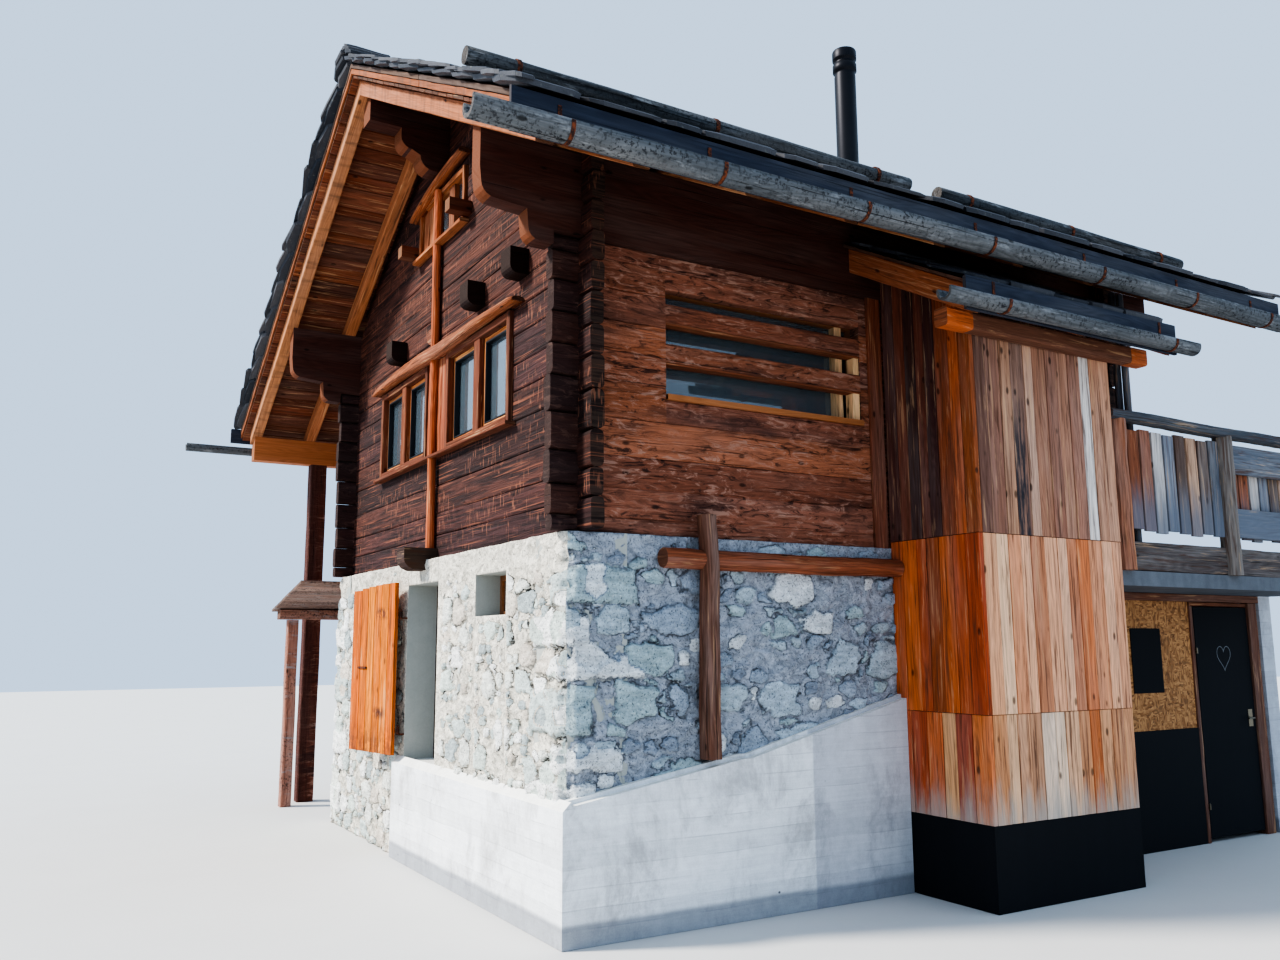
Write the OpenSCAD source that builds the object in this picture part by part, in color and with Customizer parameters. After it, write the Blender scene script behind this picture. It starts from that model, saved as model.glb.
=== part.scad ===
// Alpine chalet: rubble stone ground storey, log storey with cross-lapped corners, slate roof with a
// wide overhang, hollowed-log gutters, board-clad annex, railed terrace with a store room under it.
// Millimetres. X runs along the gable, Y from the gable to the rear, Z up. The outer stone corner between
// the gable and the annex side is at x = 0, y = 0, and z = 0 is the lowest ground there.

/* [House plan] */
// Width of the gable wall over the stone storey
house_w = 5440; // [5200:10:6000]
// Depth of the house over the stone storey
house_d = 5650; // [5500:10:6000]
// Height of the stone wall top above the lowest ground
stone_top = 2520; // [2480:10:2700]
// Thickness of the stone walls
stone_t = 450; // [400:10:500]
// Height of the door sill and ground floor
sill_z = 820; // [780:5:850]
// Thickness of the ground floor slab
floor_t = 150; // [100:10:200]
// Thickness of the timber floor on the stone walls
upper_floor_t = 40; // [30:5:60]

/* [Plinth] */
// Projection of the concrete plinth before the gable wall
plinth_front_out = 60; // [40:5:80]
// Projection of the concrete plinth before the annex side
plinth_side_out = 100; // [90:5:110]
// Height of the plinth top where it meets the corner
plinth_top = 850; // [840:1:856]
// Height and width of the slope on the plinth's upper edge
plinth_chamfer = 55; // [30:5:58]
// Length of the plinth past the doorway
plinth_past_door = 145; // [100:5:200]
// Height of the level step in the plinth ramp
ramp_step_z = 1060; // [1050:5:1080]
// Depth along the wall where the level step begins
ramp_step_y0 = 1290; // [1250:10:1330]
// Depth along the wall where the level step ends
ramp_step_y1 = 1360; // [1330:10:1850]
// Height of the ramp where it meets the annex
ramp_top = 1420; // [1380:5:1500]

/* [Front doorway] */
// Left jamb of the doorway
door_x0 = -3105; // [-3150:5:-3060]
// Width of the doorway
door_w = 765; // [740:5:800]
// Height of the doorway head
door_head = 2320; // [2300:5:2340]
// Width of the plank door
leaf_w = 820; // [810:5:840]
// Thickness of the plank door
leaf_t = 35; // [30:1:38]
// Height of the plank door at its hinges
leaf_h = 1490; // [1470:5:1500]
// Drop of the plank door's top towards its free edge
leaf_drop = 55; // [30:5:70]
// Clearance under the plank door
leaf_lift = 12; // [10:1:16]
// Angle between the closed and the standing open plank door
leaf_open = 170; // [160:1:174]
// Distance of the hinge pin before the wall
pin_out = 62; // [60:1:66]
// Gap between the closed plank door and the wall
leaf_gap = 7; // [6:1:9]
// Radius of the hinge pins of the plank door
pin_r = 8; // [6:0.5:9]
// Height of a hinge knuckle of the plank door
knuckle_h = 60; // [50:5:80]
// Length of a strap hinge
strap_len = 520; // [400:10:600]

/* [Inner door] */
// Width of the inner door frame's bars
frame_bar = 50; // [40:5:60]
// Depth of the inner door frame
frame_depth = 65; // [60:5:90]
// Depth of the inner door's rear face behind the wall's face
inner_set = 330; // [300:5:390]
// Thickness of the inner door
inner_t = 45; // [40:1:50]
// Gap around every hinged leaf
leaf_clear = 6; // [5:0.5:8]

/* [Cellar window] */
// Left side of the cellar window
cellar_x0 = -1520; // [-1600:10:-1480]
// Width of the cellar window
cellar_w = 575; // [540:5:620]
// Sill height of the cellar window
cellar_z0 = 2010; // [1980:5:2040]
// Height of the cellar window
cellar_h = 310; // [280:5:320]
// Depth of the cellar window's frame behind the wall face
cellar_set = 200; // [160:5:240]

/* [Log storey] */
// Setback of the gable logs from the stone face
log_set = 100; // [90:5:120]
// Setback of the side logs from the stone face
side_set = 40; // [30:5:50]
// Thickness of the logs
log_t = 100; // [90:5:110]
// Bevel along the edges of each log
log_bevel = 9; // [4:1:14]
// Projection of the gable logs past the side logs
gable_tip = 180; // [150:5:200]
// Projection of the side logs past the gable logs
side_tip = 190; // [150:5:210]
// How much the log ends vary in length
tip_vary = 14; // [0:1:20]

/* [Roof] */
// Height of the rafters' underside at the ridge above the stone wall top
ridge_rise = 4090; // [4060:5:4140]
// Pitch of the roof in degrees
pitch = 28.9; // [28:0.1:29.6]
// Width of a rafter
rafter_w = 116; // [90:2:130]
// Upright depth of a rafter
rafter_d = 150; // [140:5:160]
// Upright depth of the boarded roof deck
deck_d = 140; // [120:5:160]
// Overhang of the rafters past the gable logs
rafter_out = 806; // [780:2:820]
// Overhang of the roof deck past the barge rafters
deck_out = 64; // [50:2:80]
// Overhang of the slates past the deck
slate_out = 130; // [100:5:150]
// Overhang of the rafters past the side logs at the annex side
eave_out = 1040; // [1020:5:1050]
// Overhang of the rafters past the side logs at the far side
far_eave_out = 1690; // [1680:5:1700]
// Distance of the deck edge past the rafter ends
deck_past = 80; // [70:5:90]
// Thickness of a slate course at its upper end
slate_thin = 45; // [35:1:55]
// Thickness of a slate course at its lower end
slate_thick = 85; // [70:1:100]
// Level length of one slate course
slate_step = 330; // [300:5:360]
// Level half width of the ridge slates
ridge_half = 330; // [280:10:380]
// Upright thickness of the ridge slates
ridge_t = 120; // [90:5:140]

/* [Purlins] */
// Width of the ridge purlin
ridge_w = 200; // [180:5:220]
// Upright depth of the ridge purlin
ridge_d = 250; // [230:5:270]
// Height of the wall plates' underside above the stone wall top
plate_rise = 2000; // [1990:5:2010]
// Projection of the wall plates past the logs below
plate_out = 40; // [35:1:45]
// Overhang of the purlins past the gable logs
purlin_out = 735; // [700:5:745]
// Width of the outer purlin at the far side
outer_w = 160; // [140:5:180]
// Depth of the outer purlin at the far side
outer_d = 240; // [220:5:260]

/* [Eaves] */
// Radius of the main gutter log
gutter_r = 83; // [75:1:88]
// Gap between the fascia and the main gutter log
gutter_gap = 8; // [7:1:12]
// Drop of the main gutter's centre below the deck's edge
gutter_drop = 242; // [235:1:260]
// Projection of the gutter logs past the slates at the gable
gutter_past = 280; // [240:5:320]
// Thickness of the fascia board
fascia_t = 28; // [20:1:35]
// Drop of the annex gutter's centre below the annex deck's edge
annex_gutter_drop = 138; // [125:1:160]
// Radius of the snow guard logs
snow_r = 60; // [50:1:70]
// Place of the snow guard logs along the house width
snow_x = 250; // [200:10:300]
// Distance from the gable where the first snow guard log ends
snow_break_y = 2900; // [2600:50:3200]
// Gap between the two snow guard logs
snow_break = 330; // [200:10:400]
// Width of a gutter hook
hook_w = 30; // [20:2:40]
// Thickness of a gutter hook
hook_t = 6; // [4:1:7]
// Radius of the flue pipe
flue_r = 100; // [90:1:110]
// Place of the flue along the house width
flue_x = -1000; // [-1100:10:-900]
// Place of the flue along the house depth
flue_y = 3430; // [3300:10:3500]
// Height of the flue top above the stone wall top
flue_rise = 4880; // [4800:10:4950]

/* [Gable windows] */
// Width of the window band
band_w = 3220; // [3100:10:3300]
// Width of the boarded panel between the two window pairs
band_panel = 480; // [440:10:520]
// Width of the window frame's bars
win_bar = 60; // [50:5:70]
// Projection of the window frames before the logs
win_proud = 35; // [25:1:45]
// Thickness of the glass
glass_t = 8; // [6:1:10]
// Places of the three beam ends beside the ridge line
stub_places = [-1130, 850, 1700];
// Width of a beam end
stub_w = 175; // [150:5:190]
// Projection of a beam end before the logs
stub_out = 150; // [120:5:180]
// Depth of a beam end
stub_d = 200; // [170:5:220]
// Width of the attic window
attic_w = 1160; // [1100:10:1200]
// Height of the attic window's sill above the stone wall top
attic_rise = 2890; // [2870:5:2910]
// Height of the attic window
attic_h = 500; // [460:10:520]

/* [Side window] */
// Distance of the side window from the gable
side_win_y = 790; // [760:5:830]
// Width of the side window
side_win_w = 1800; // [1700:10:1820]
// Heights of the three slots above the stone wall top, lowest first
side_slots = [[954, 1226], [1360, 1512], [1648, 1755]];

/* [Annex] */
// Distance of the annex from the gable
annex_y = 2810; // [2790:5:2850]
// Depth of the annex along the wall
annex_d = 1580; // [1540:5:1590]
// Projection of the annex from the wall
annex_w = 865; // [840:5:880]
// Thickness of the annex walls
annex_t = 35; // [28:1:45]
// Height of the annex roof's underside at the wall above the stone wall top
annex_rise = 2170; // [2160:2:2190]
// Upright depth of the annex rafters
annex_rafter_d = 200; // [160:5:205]
// Heights where the annex boarding steps, lowest first
annex_tiers = [570, 1305, 2570];
// Step of each boarding tier over the one below
tier_step = 8; // [4:1:12]
// Width of the board that covers the log wall beside the annex
cover_w = 135; // [100:5:160]
// Thickness of the cover board
cover_t = 30; // [20:1:36]

/* [Terrace] */
// Length of the terrace past the rear wall
terrace_past = 2110; // [2050:10:2150]
// Height of the terrace slab's underside
terrace_z = 2240; // [2210:5:2260]
// Thickness of the terrace slab
terrace_t = 120; // [110:5:140]
// Width of the weathered beam on the slab edge
edge_beam_w = 120; // [100:5:140]
// Height of the weathered beam on the slab edge
edge_beam_h = 237; // [220:5:250]
// From the last post's middle to the terrace's end
rail_end = 290; // [250:10:330]
// Width of a railing post
post_w = 165; // [140:5:180]
// Height of the railing posts
post_h = 1215; // [1150:5:1230]
// Height of the handrail
handrail_h = 100; // [80:5:120]
// Radius of the props between the terrace and the roof
prop_r = 30; // [26:1:33]
// Places of the two props along the house width
prop_xs = [634, 706];
// Far side of the store room under the terrace
store_x = -2200; // [-2400:50:-1800]
// Thickness of the store room's concrete walls
store_t = 200; // [150:10:250]
// Width of the store doorway
store_door_w = 880; // [860:5:900]
// Height of the store doorway
store_door_h = 2130; // [2100:5:2140]
// Distance of the store doorway behind the house wall
store_door_y = 840; // [800:5:860]

/* [Hidden] */

$fn = 48;
pitch_t = tan(pitch);
ridge_x = -house_w / 2;
door_x1 = door_x0 + door_w;
// Log planes: outer and inner faces of the gable logs and of the side logs
gable_y0 = log_set;
gable_y1 = log_set + log_t;
side_x0 = -side_set - log_t;
side_x1 = -side_set;
rear_y0 = house_d - gable_y1;
// Heights of the gable courses, lowest first; the sill, head and plate levels fall on seams
course_h = [215, 190, 250, 265, 230, 205, 230, 205, 210, 220, 200, 230, 215, 225, 200, 220, 210, 225,
    215, 230];
sill_course = 4;
head_course = 8;
plate_course = 9;
loose_course = 11;
band_x0 = ridge_x - band_w / 2;
band_x1 = ridge_x + band_w / 2;
// Roof edges
rafter_xr = side_x1 + eave_out;
rafter_xl = -house_w - side_x1 - far_eave_out;
deck_xr = rafter_xr + deck_past;
deck_xl = rafter_xl - deck_past * 2;
// Top of the pole before the gable, under the attic window's hood
pole_top = stone_top + attic_rise + attic_h - 5;
pole_x = ridge_x - 30;
pole_r = 42;
bracket_r = 150;
// Beam end that carries the pole: height over the stone wall, reach before it and radius of its nose
beam_end_h = 100;
beam_end_out = 200;
beam_end_r = 90;
panel_out = 20;
sill_board_t = 28;
// Gap between the two slopes of each roof layer at the ridge
ridge_gap = 1;
outer_x = rafter_xl - 20;
outer_z = stone_top + ridge_rise - pitch_t * abs(outer_x + outer_w / 2 - ridge_x) - outer_d;
outer_post = 190;
bearer_w = 110;
bearer_out = 200;
rafter_y0 = gable_y0 - rafter_out;
deck_y0 = rafter_y0 - deck_out;
slate_y0 = deck_y0 - slate_out;
fascia_x1 = deck_xr + fascia_t;
// Gap left where a piece only rests against a rounded one
seat = 0.3;
// Overhang of the slates past the fascia
slate_drip = 60;
// Height of the flue's cowl
cowl_h = 260;
// From the end of a snow log to its outer strap
snow_strap_in = 350;
// Height of a gutter hook's strap above the gutter's centre
hook_rise = 190;
gutter_x = fascia_x1 + gutter_gap + gutter_r;
gutter_y0 = slate_y0 - gutter_past;
gutter_z = stone_top + ridge_rise - pitch_t * (deck_xr - ridge_x) + rafter_d + deck_d - gutter_drop;
// Rafters stand at the barge, before the gable wall and evenly inside
inner_rafters = 6;
near_wall_y = gable_y0 - 180;
rafter_ys = concat([rafter_y0, near_wall_y],
    [for (i = [1:inner_rafters]) near_wall_y + i * (house_d - rafter_w - 2 * near_wall_y)
        / (inner_rafters + 1)],
    [house_d - near_wall_y - rafter_w, house_d - rafter_y0 - rafter_w]);
hook_ys = [-610, 390, 1510, 2670, 3860, 5030, 6100];
annex_hook_ys = [2690, 4570];
// Annex roof
annex_y1 = annex_y + annex_d;
annex_eave_x = 1190;
annex_verge_y0 = annex_y - 330;
annex_verge_y1 = annex_y1 + 330;
// The props stand under the first rafter behind the annex roof
prop_y = [for (y = rafter_ys) if (y > annex_verge_y1) y + rafter_w / 2][0];
annex_purlin_w = 125;
annex_gutter_r = 68;
annex_gutter_x = annex_eave_x + fascia_t + gutter_gap + annex_gutter_r;
annex_gutter_z = stone_top + annex_rise - pitch_t * annex_eave_x + annex_rafter_d - annex_gutter_drop;
// Terrace
terrace_edge = annex_w - 65;
store_face = 40;
store_wall_t = 45;
store_door_y0 = house_d + store_door_y;
store_door_y1 = store_door_y0 + store_door_w;
deck_z = terrace_z + terrace_t;
terrace_y = house_d + terrace_past;
post_y0 = annex_y1 + 140;
bays = 2;
bay = (terrace_y - rail_end - post_y0) / bays;
rail_boards = 8;
rail_board_t = 26;
rail_board_z0 = 335;
rail_board_z1 = 1150;
rail_plank_zs = [330, 890];
rail_plank_t = 35;
rail_plank_h = 255;
// How far the planks are let into the round faces of the posts
rail_plank_in = 12;

function sum_to(list, n) = n <= 0 ? 0 : list[n - 1] + sum_to(list, n - 1);
function seam(k) = stone_top + sum_to(course_h, k);
// Side seams lie halfway between gable seams, as cross-lapped logs do
function side_seam(k) = k == 0 ? stone_top : (seam(k - 1) + seam(k)) / 2;
function lap(k) = round(course_h[k] / 4);
function neck_low(k) = seam(k) + lap(k);
function neck_high(k) = seam(k + 1) - lap(k);
function rafter_z(x) = stone_top + ridge_rise - pitch_t * abs(x - ridge_x);
function annex_z(x) = stone_top + annex_rise - pitch_t * x;
// How far the annex boarding stands out at a tier
function annex_out(i) = i * tier_step / 2;
function arc(cx, cy, r, a0, a1, n) =
    [for (i = [0:n]) [cx + r * cos(a0 + (a1 - a0) * i / n), cy + r * sin(a0 + (a1 - a0) * i / n)]];
// Upright outline of a stacked log wall: bevelled seams outside, at 0, and a plane face inside, at t
function wall_stack(s, t, c) = let (n = len(s) - 1) concat(
    [[t, s[0]], [c, s[0]]],
    [for (k = [0:n - 1]) each [[0, s[k] + c], [0, s[k + 1] - c], [c, s[k + 1]]]],
    [[t, s[n]]]);
// Upright outline of stacked log ends between two seams, bevelled at each seam, t thick
function stack(s, t, c) = let (n = len(s) - 1) concat(
    [[c, s[0]]],
    [for (k = [0:n - 1]) each [[0, s[k] + c], [0, s[k + 1] - c], [c, s[k + 1]]]],
    [[t - c, s[n]]],
    [for (k = [n - 1:-1:0]) each [[t, s[k + 1] - c], [t, s[k] + c], [t - c, s[k]]]]);
// The plinth ramp's height at a depth along the wall
function ramp_z(y) = y < ramp_step_y0
    ? plinth_top + (ramp_step_z - plinth_top) * max(y, 0) / ramp_step_y0
    : y < ramp_step_y1 ? ramp_step_z
    : ramp_step_z + (ramp_top - ramp_step_z) * (y - ramp_step_y1) / (annex_y - ramp_step_y1);

module along_x(x0, x1) translate([x0, 0, 0]) rotate([90, 0, 90]) linear_extrude(x1 - x0) children();
module along_y(y0, y1) translate([0, y1, 0]) rotate([90, 0, 0]) linear_extrude(y1 - y0) children();
module block(a, b) translate(a) cube(b - a);
// Repeats a gable-side corner on the far side of the ridge
module far_side() translate([-house_w, 0, 0]) mirror([1, 0, 0]) children();
// Repeats a front piece at the rear
module rear_side() translate([0, house_d, 0]) mirror([0, 1, 0]) children();

// A strip of one roof slope between two level places and two upright lifts over the rafters' underside
module slope_strip(xa, xb, low, high)
    polygon([[xa, rafter_z(xa) + low], [xb, rafter_z(xb) + low],
        [xb, rafter_z(xb) + high], [xa, rafter_z(xa) + high]]);

module plinth_front() color("lightgray") {
    block([door_x0, 0, 0], [0, stone_t, sill_z]);
    along_x(door_x0 - plinth_past_door, plinth_side_out)
        polygon([[-plinth_front_out, 0], [0, 0], [0, plinth_top],
            [-5, plinth_top], [-plinth_front_out, plinth_top - plinth_chamfer]]);
}

module plinth_side() color("lightgray") {
    end = annex_y - annex_out(2);
    ys = [0, ramp_step_y0, ramp_step_y1, end];
    flat = plinth_side_out - plinth_chamfer;
    along_x(0, flat)
        polygon(concat([[0, 0]], [for (y = ys) [y, ramp_z(y)]], [[end, 0]]));
    along_x(flat, plinth_side_out)
        polygon(concat([[0, 0]], [for (y = ys) [y, ramp_z(y) - plinth_chamfer / 2]], [[end, 0]]));
}

module stone_front_left() color("beige")
    block([-house_w, 0, 0], [door_x0, stone_t, stone_top]);

module stone_front_right() color("beige") difference() {
    block([door_x1, 0, sill_z], [0, stone_t, stone_top]);
    block([cellar_x0, -1, cellar_z0], [cellar_x0 + cellar_w, stone_t + 1, cellar_z0 + cellar_h]);
}

module stone_front_lintel() color("beige")
    block([door_x0, 0, door_head], [door_x1, stone_t, stone_top]);

module stone_sides() color("silver")
    for (x = [-house_w, -stone_t])
        block([x, stone_t, 0], [x + stone_t, house_d - stone_t, stone_top]);

module stone_rear() color("silver")
    block([-house_w, house_d - stone_t, 0], [0, house_d, stone_top]);

module ground_floor() color("gray")
    block([-house_w + stone_t, stone_t, sill_z - floor_t], [-stone_t, house_d - stone_t, sill_z]);

module upper_floor() color("peru")
    block([-house_w - side_x0, gable_y1, stone_top], [side_x0, rear_y0, stone_top + upper_floor_t]);

// Gable logs from course a up to course b between two places along the gable
module gable_body(a, b, xa, xb) along_x(xa, xb)
    translate([gable_y0, 0]) polygon(wall_stack([for (k = [a:b]) seam(k)], log_t, log_bevel));

// The lapped necks and the projecting ends of gable courses a to b - 1 at the right corner
module gable_ends(a, b) for (k = [a:b - 1]) {
    zone = k < plate_course ? side_x1 : side_x1 + plate_out;
    tip = side_x1 + gable_tip + round(tip_vary * sin(k * 97));
    if (k < loose_course)
        block([side_x0, gable_y0, neck_low(k)], [zone, gable_y1, neck_high(k)]);
    along_x(zone, tip)
        translate([gable_y0, 0]) polygon(stack([seam(k), seam(k + 1)], log_t, log_bevel));
}

// The part of a gable wall that lies under the roof deck
module under_deck() along_y(gable_y0 - 1, gable_y1 + 1)
    polygon([[rafter_xl, 0], [rafter_xl, rafter_z(rafter_xl) + rafter_d],
        [ridge_x, rafter_z(ridge_x) + rafter_d],
        [rafter_xr, rafter_z(rafter_xr) + rafter_d], [rafter_xr, 0]]);

// Outline of the ridge purlin, peaked to carry both rafters
module ridge_outline() polygon([
    [ridge_x - ridge_w / 2, rafter_z(ridge_x) - ridge_d], [ridge_x + ridge_w / 2, rafter_z(ridge_x) - ridge_d],
    [ridge_x + ridge_w / 2, rafter_z(ridge_x + ridge_w / 2)], [ridge_x, rafter_z(ridge_x)],
    [ridge_x - ridge_w / 2, rafter_z(ridge_x - ridge_w / 2)]]);

module gable_top_logs() intersection() {
    union() {
        gable_body(head_course, len(course_h), -house_w - side_x0, side_x0);
        gable_ends(head_course, loose_course + 1);
        far_side() gable_ends(head_course, loose_course + 1);
    }
    under_deck();
}

module logs_front_lower() color("saddlebrown") {
    gable_body(0, sill_course, -house_w - side_x0, side_x0);
    gable_ends(0, sill_course);
    far_side() gable_ends(0, sill_course);
}

// The log wall beside the window band, right of it
module beside_band() {
    gable_body(sill_course, head_course, band_x1, side_x0);
    gable_ends(sill_course, head_course);
}

module logs_front_middle() color("saddlebrown") {
    beside_band();
    far_side() beside_band();
}

module logs_front_gable() color("saddlebrown") difference() {
    gable_top_logs();
    along_y(gable_y0 - 1, gable_y1 + 1) ridge_outline();
    block([ridge_x - attic_w / 2, gable_y0 - 1, stone_top + attic_rise],
        [ridge_x + attic_w / 2, gable_y1 + 1, stone_top + attic_rise + attic_h]);
}

module logs_rear() color("saddlebrown") rear_side() {
    gable_body(0, head_course, -house_w - side_x0, side_x0);
    gable_ends(0, head_course);
    far_side() gable_ends(0, head_course);
    difference() {
        gable_top_logs();
        along_y(gable_y0 - 1, gable_y1 + 1) ridge_outline();
    }
}

// Side logs up to the wall plate: body, lapped necks and projecting ends at both corners
module side_logs() {
    n = plate_course;
    seams = concat([for (k = [0:n]) side_seam(k)], [stone_top + plate_rise]);
    translate([side_x1, 0, 0]) mirror([1, 0, 0]) {
        along_y(gable_y1, rear_y0) polygon(wall_stack(seams, log_t, log_bevel));
        for (k = [0:n]) {
            low = k == 0 ? seam(0) : seam(k) - lap(k - 1);
            high = min(seam(k) + lap(k), stone_top + plate_rise);
            tip = side_tip + round(tip_vary * sin(k * 71 + 40));
            block([0, gable_y0, low], [log_t, gable_y1, high]);
            block([0, rear_y0, low], [log_t, rear_y0 + log_t, high]);
            along_y(gable_y0 - tip, gable_y0) polygon(stack([seams[k], seams[k + 1]], log_t, log_bevel));
            along_y(rear_y0 + log_t, rear_y0 + log_t + tip)
                polygon(stack([seams[k], seams[k + 1]], log_t, log_bevel));
        }
    }
}

module logs_side() color("sienna") difference() {
    side_logs();
    for (s = side_slots)
        block([side_x0 - 1, side_win_y, stone_top + s[0]],
            [side_x1 + 1, side_win_y + side_win_w, stone_top + s[1]]);
}

module logs_left() color("sienna") far_side() side_logs();

module ridge_purlin() color("saddlebrown")
    along_y(gable_y0 - purlin_out, house_d - gable_y0 + purlin_out) ridge_outline();

// Stepped console under each end of the ridge purlin, curved at each step
module ridge_consoles() color("saddlebrown") {
    top = rafter_z(ridge_x) - ridge_d;
    for (end = [0, 1])
        translate([0, end * house_d, 0]) mirror([0, end, 0])
            along_x(ridge_x - ridge_w / 2, ridge_x + ridge_w / 2)
                polygon(concat(
                    [[gable_y0, top], [gable_y0, top - 340]],
                    arc(gable_y0 - 150, top - 220, 120, 270, 180, 5),
                    arc(gable_y0 - 350, top - 80, 100, 270, 180, 5),
                    [[gable_y0 - 450, top]]));
}

// A wall plate with a curved, stepped console at each end, lapped with the gable logs
module plate() {
    z0 = stone_top + plate_rise;
    xo = side_x1 + plate_out;
    front = gable_y0 - purlin_out;
    difference() {
        intersection() {
            along_y(front, house_d - front)
                polygon([[side_x0, z0 - 95], [xo, z0 - 95], [xo, rafter_z(xo)], [side_x0, rafter_z(side_x0)]]);
            along_x(side_x0, xo) for (end = [0, 1])
                translate([end * house_d, 0]) mirror([end, 0]) polygon(concat(
                    [[house_d / 2, z0], [gable_y0 - side_tip - tip_vary - 1, z0],
                        [gable_y0 - side_tip - tip_vary - 1, z0 - 95]],
                    arc(gable_y0 - 310, z0 - 15, 80, 270, 180, 4),
                    [[gable_y0 - 400, z0 + 110]],
                    arc(front + 110, z0 + 230, 100, 270, 180, 5),
                    [[front, z0 + 330], [front, z0 + 900], [house_d / 2, z0 + 900]]));
        }
        for (end = [0, 1])
            translate([0, end * house_d, 0]) mirror([0, end, 0]) for (k = [plate_course:loose_course - 1])
                block([side_x0 - 1, gable_y0, neck_low(k)], [xo + 1, gable_y1, neck_high(k)]);
    }
}

module wall_plates() color("saddlebrown") {
    plate();
    far_side() plate();
}

module outer_purlin() color("darkorange")
    along_y(gable_y0 - purlin_out - 40, house_d - gable_y0 + purlin_out)
        polygon([[outer_x, outer_z], [outer_x + outer_w, outer_z],
            [outer_x + outer_w, rafter_z(outer_x + outer_w)], [outer_x, rafter_z(outer_x)]]);

module outer_posts() color("sienna")
    for (y = [0, house_d - outer_post]) block([outer_x, y, 0], [outer_x + outer_w, y + outer_post, outer_z]);

// Two round props under one rafter, the first on the terrace and the second on the edge beam
module terrace_props() color("gray") difference() {
    feet = [deck_z, deck_z + edge_beam_h];
    for (i = [0, 1]) translate([prop_xs[i], prop_y, feet[i]])
        cylinder(r = prop_r, h = rafter_z(prop_xs[0]) - feet[i]);
    along_y(prop_y - 2 * prop_r, prop_y + 2 * prop_r)
        slope_strip(prop_xs[0] - 2 * prop_r, prop_xs[1] + 2 * prop_r, 0, rafter_d);
}

module cover_board() color("peru")
    block([side_x1, annex_y - annex_out(3) - cover_w, stone_top],
        [side_x1 + cover_t, annex_y - annex_out(3), stone_top + plate_rise]);

module rafters() color("burlywood") for (y = rafter_ys) {
    along_y(y, y + rafter_w) slope_strip(ridge_x + ridge_gap / 2, rafter_xr, seat, rafter_d);
    along_y(y, y + rafter_w) slope_strip(rafter_xl, ridge_x - ridge_gap / 2, seat, rafter_d);
}

module roof_deck() color("tan") {
    high = rafter_d + deck_d;
    along_y(deck_y0, house_d - deck_y0) slope_strip(ridge_x + ridge_gap / 2, deck_xr, rafter_d + seat, high);
    along_y(deck_y0, house_d - deck_y0) slope_strip(deck_xl, ridge_x - ridge_gap / 2, rafter_d + seat, high);
}

// Lapped slate courses on one slope, thicker at each lower edge
module slate_courses(length) {
    // the courses start beside the ridge gap
    base = rafter_d + deck_d + seat;
    a = ridge_gap / 2;
    n = floor((length - ridge_half / 2) / slate_step);
    first = length - n * slate_step;
    ends = concat([0, first], [for (i = [1:n]) first + i * slate_step]);
    polygon(concat(
        [[a, base - pitch_t * a], [length, base - pitch_t * length]],
        [for (i = [n:-1:0]) each [
            [ends[i + 1], base + slate_thick - pitch_t * ends[i + 1]],
            [max(ends[i], a), base + slate_thin - pitch_t * max(ends[i], a)]]]));
}

module right_slate_outline()
    translate([ridge_x, rafter_z(ridge_x)]) slate_courses(fascia_x1 + slate_drip - ridge_x);

module slates() color("slategray") {
    difference() {
        along_y(slate_y0, house_d - slate_y0) right_slate_outline();
        translate([flue_x, flue_y, 0]) cylinder(r = flue_r + seat, h = stone_top + flue_rise);
    }
    along_y(slate_y0, house_d - slate_y0)
        translate([ridge_x, rafter_z(ridge_x)]) mirror([1, 0]) slate_courses(ridge_x - deck_xl + slate_drip);
}

module ridge_slates() color("dimgray")
    along_y(slate_y0, house_d - slate_y0) translate([ridge_x, rafter_z(ridge_x) + rafter_d + deck_d + 2 * seat]) {
        drop = ridge_half * pitch_t;
        polygon([[0, slate_thick], [ridge_half, slate_thick - drop], [ridge_half, slate_thick - drop + ridge_t / 3],
            [ridge_half * 0.7, slate_thick - drop * 0.7 + ridge_t / 3],
            [ridge_half * 0.7, slate_thick - drop * 0.7 + ridge_t * 2 / 3],
            [ridge_half * 0.4, slate_thick - drop * 0.4 + ridge_t * 2 / 3],
            [ridge_half * 0.4, slate_thick - drop * 0.4 + ridge_t], [0, slate_thick + ridge_t],
            [-ridge_half * 0.4, slate_thick - drop * 0.4 + ridge_t],
            [-ridge_half * 0.4, slate_thick - drop * 0.4 + ridge_t * 2 / 3],
            [-ridge_half * 0.7, slate_thick - drop * 0.7 + ridge_t * 2 / 3],
            [-ridge_half * 0.7, slate_thick - drop * 0.7 + ridge_t / 3],
            [-ridge_half, slate_thick - drop + ridge_t / 3], [-ridge_half, slate_thick - drop]]);
    }

// Boards that close the deck's ends at both gables, right slope and left slope
module verge_boards() color("chocolate")
    for (end = [0, 1]) translate([0, end * house_d, 0]) mirror([0, end, 0]) {
        low = rafter_d + 30;
        high = rafter_d + deck_d - 5;
        along_y(deck_y0 - 25, deck_y0) slope_strip(ridge_x + ridge_gap / 2, deck_xr, low, high);
        along_y(deck_y0 - 25, deck_y0) slope_strip(deck_xl, ridge_x - ridge_gap / 2, low, high);
    }

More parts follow.
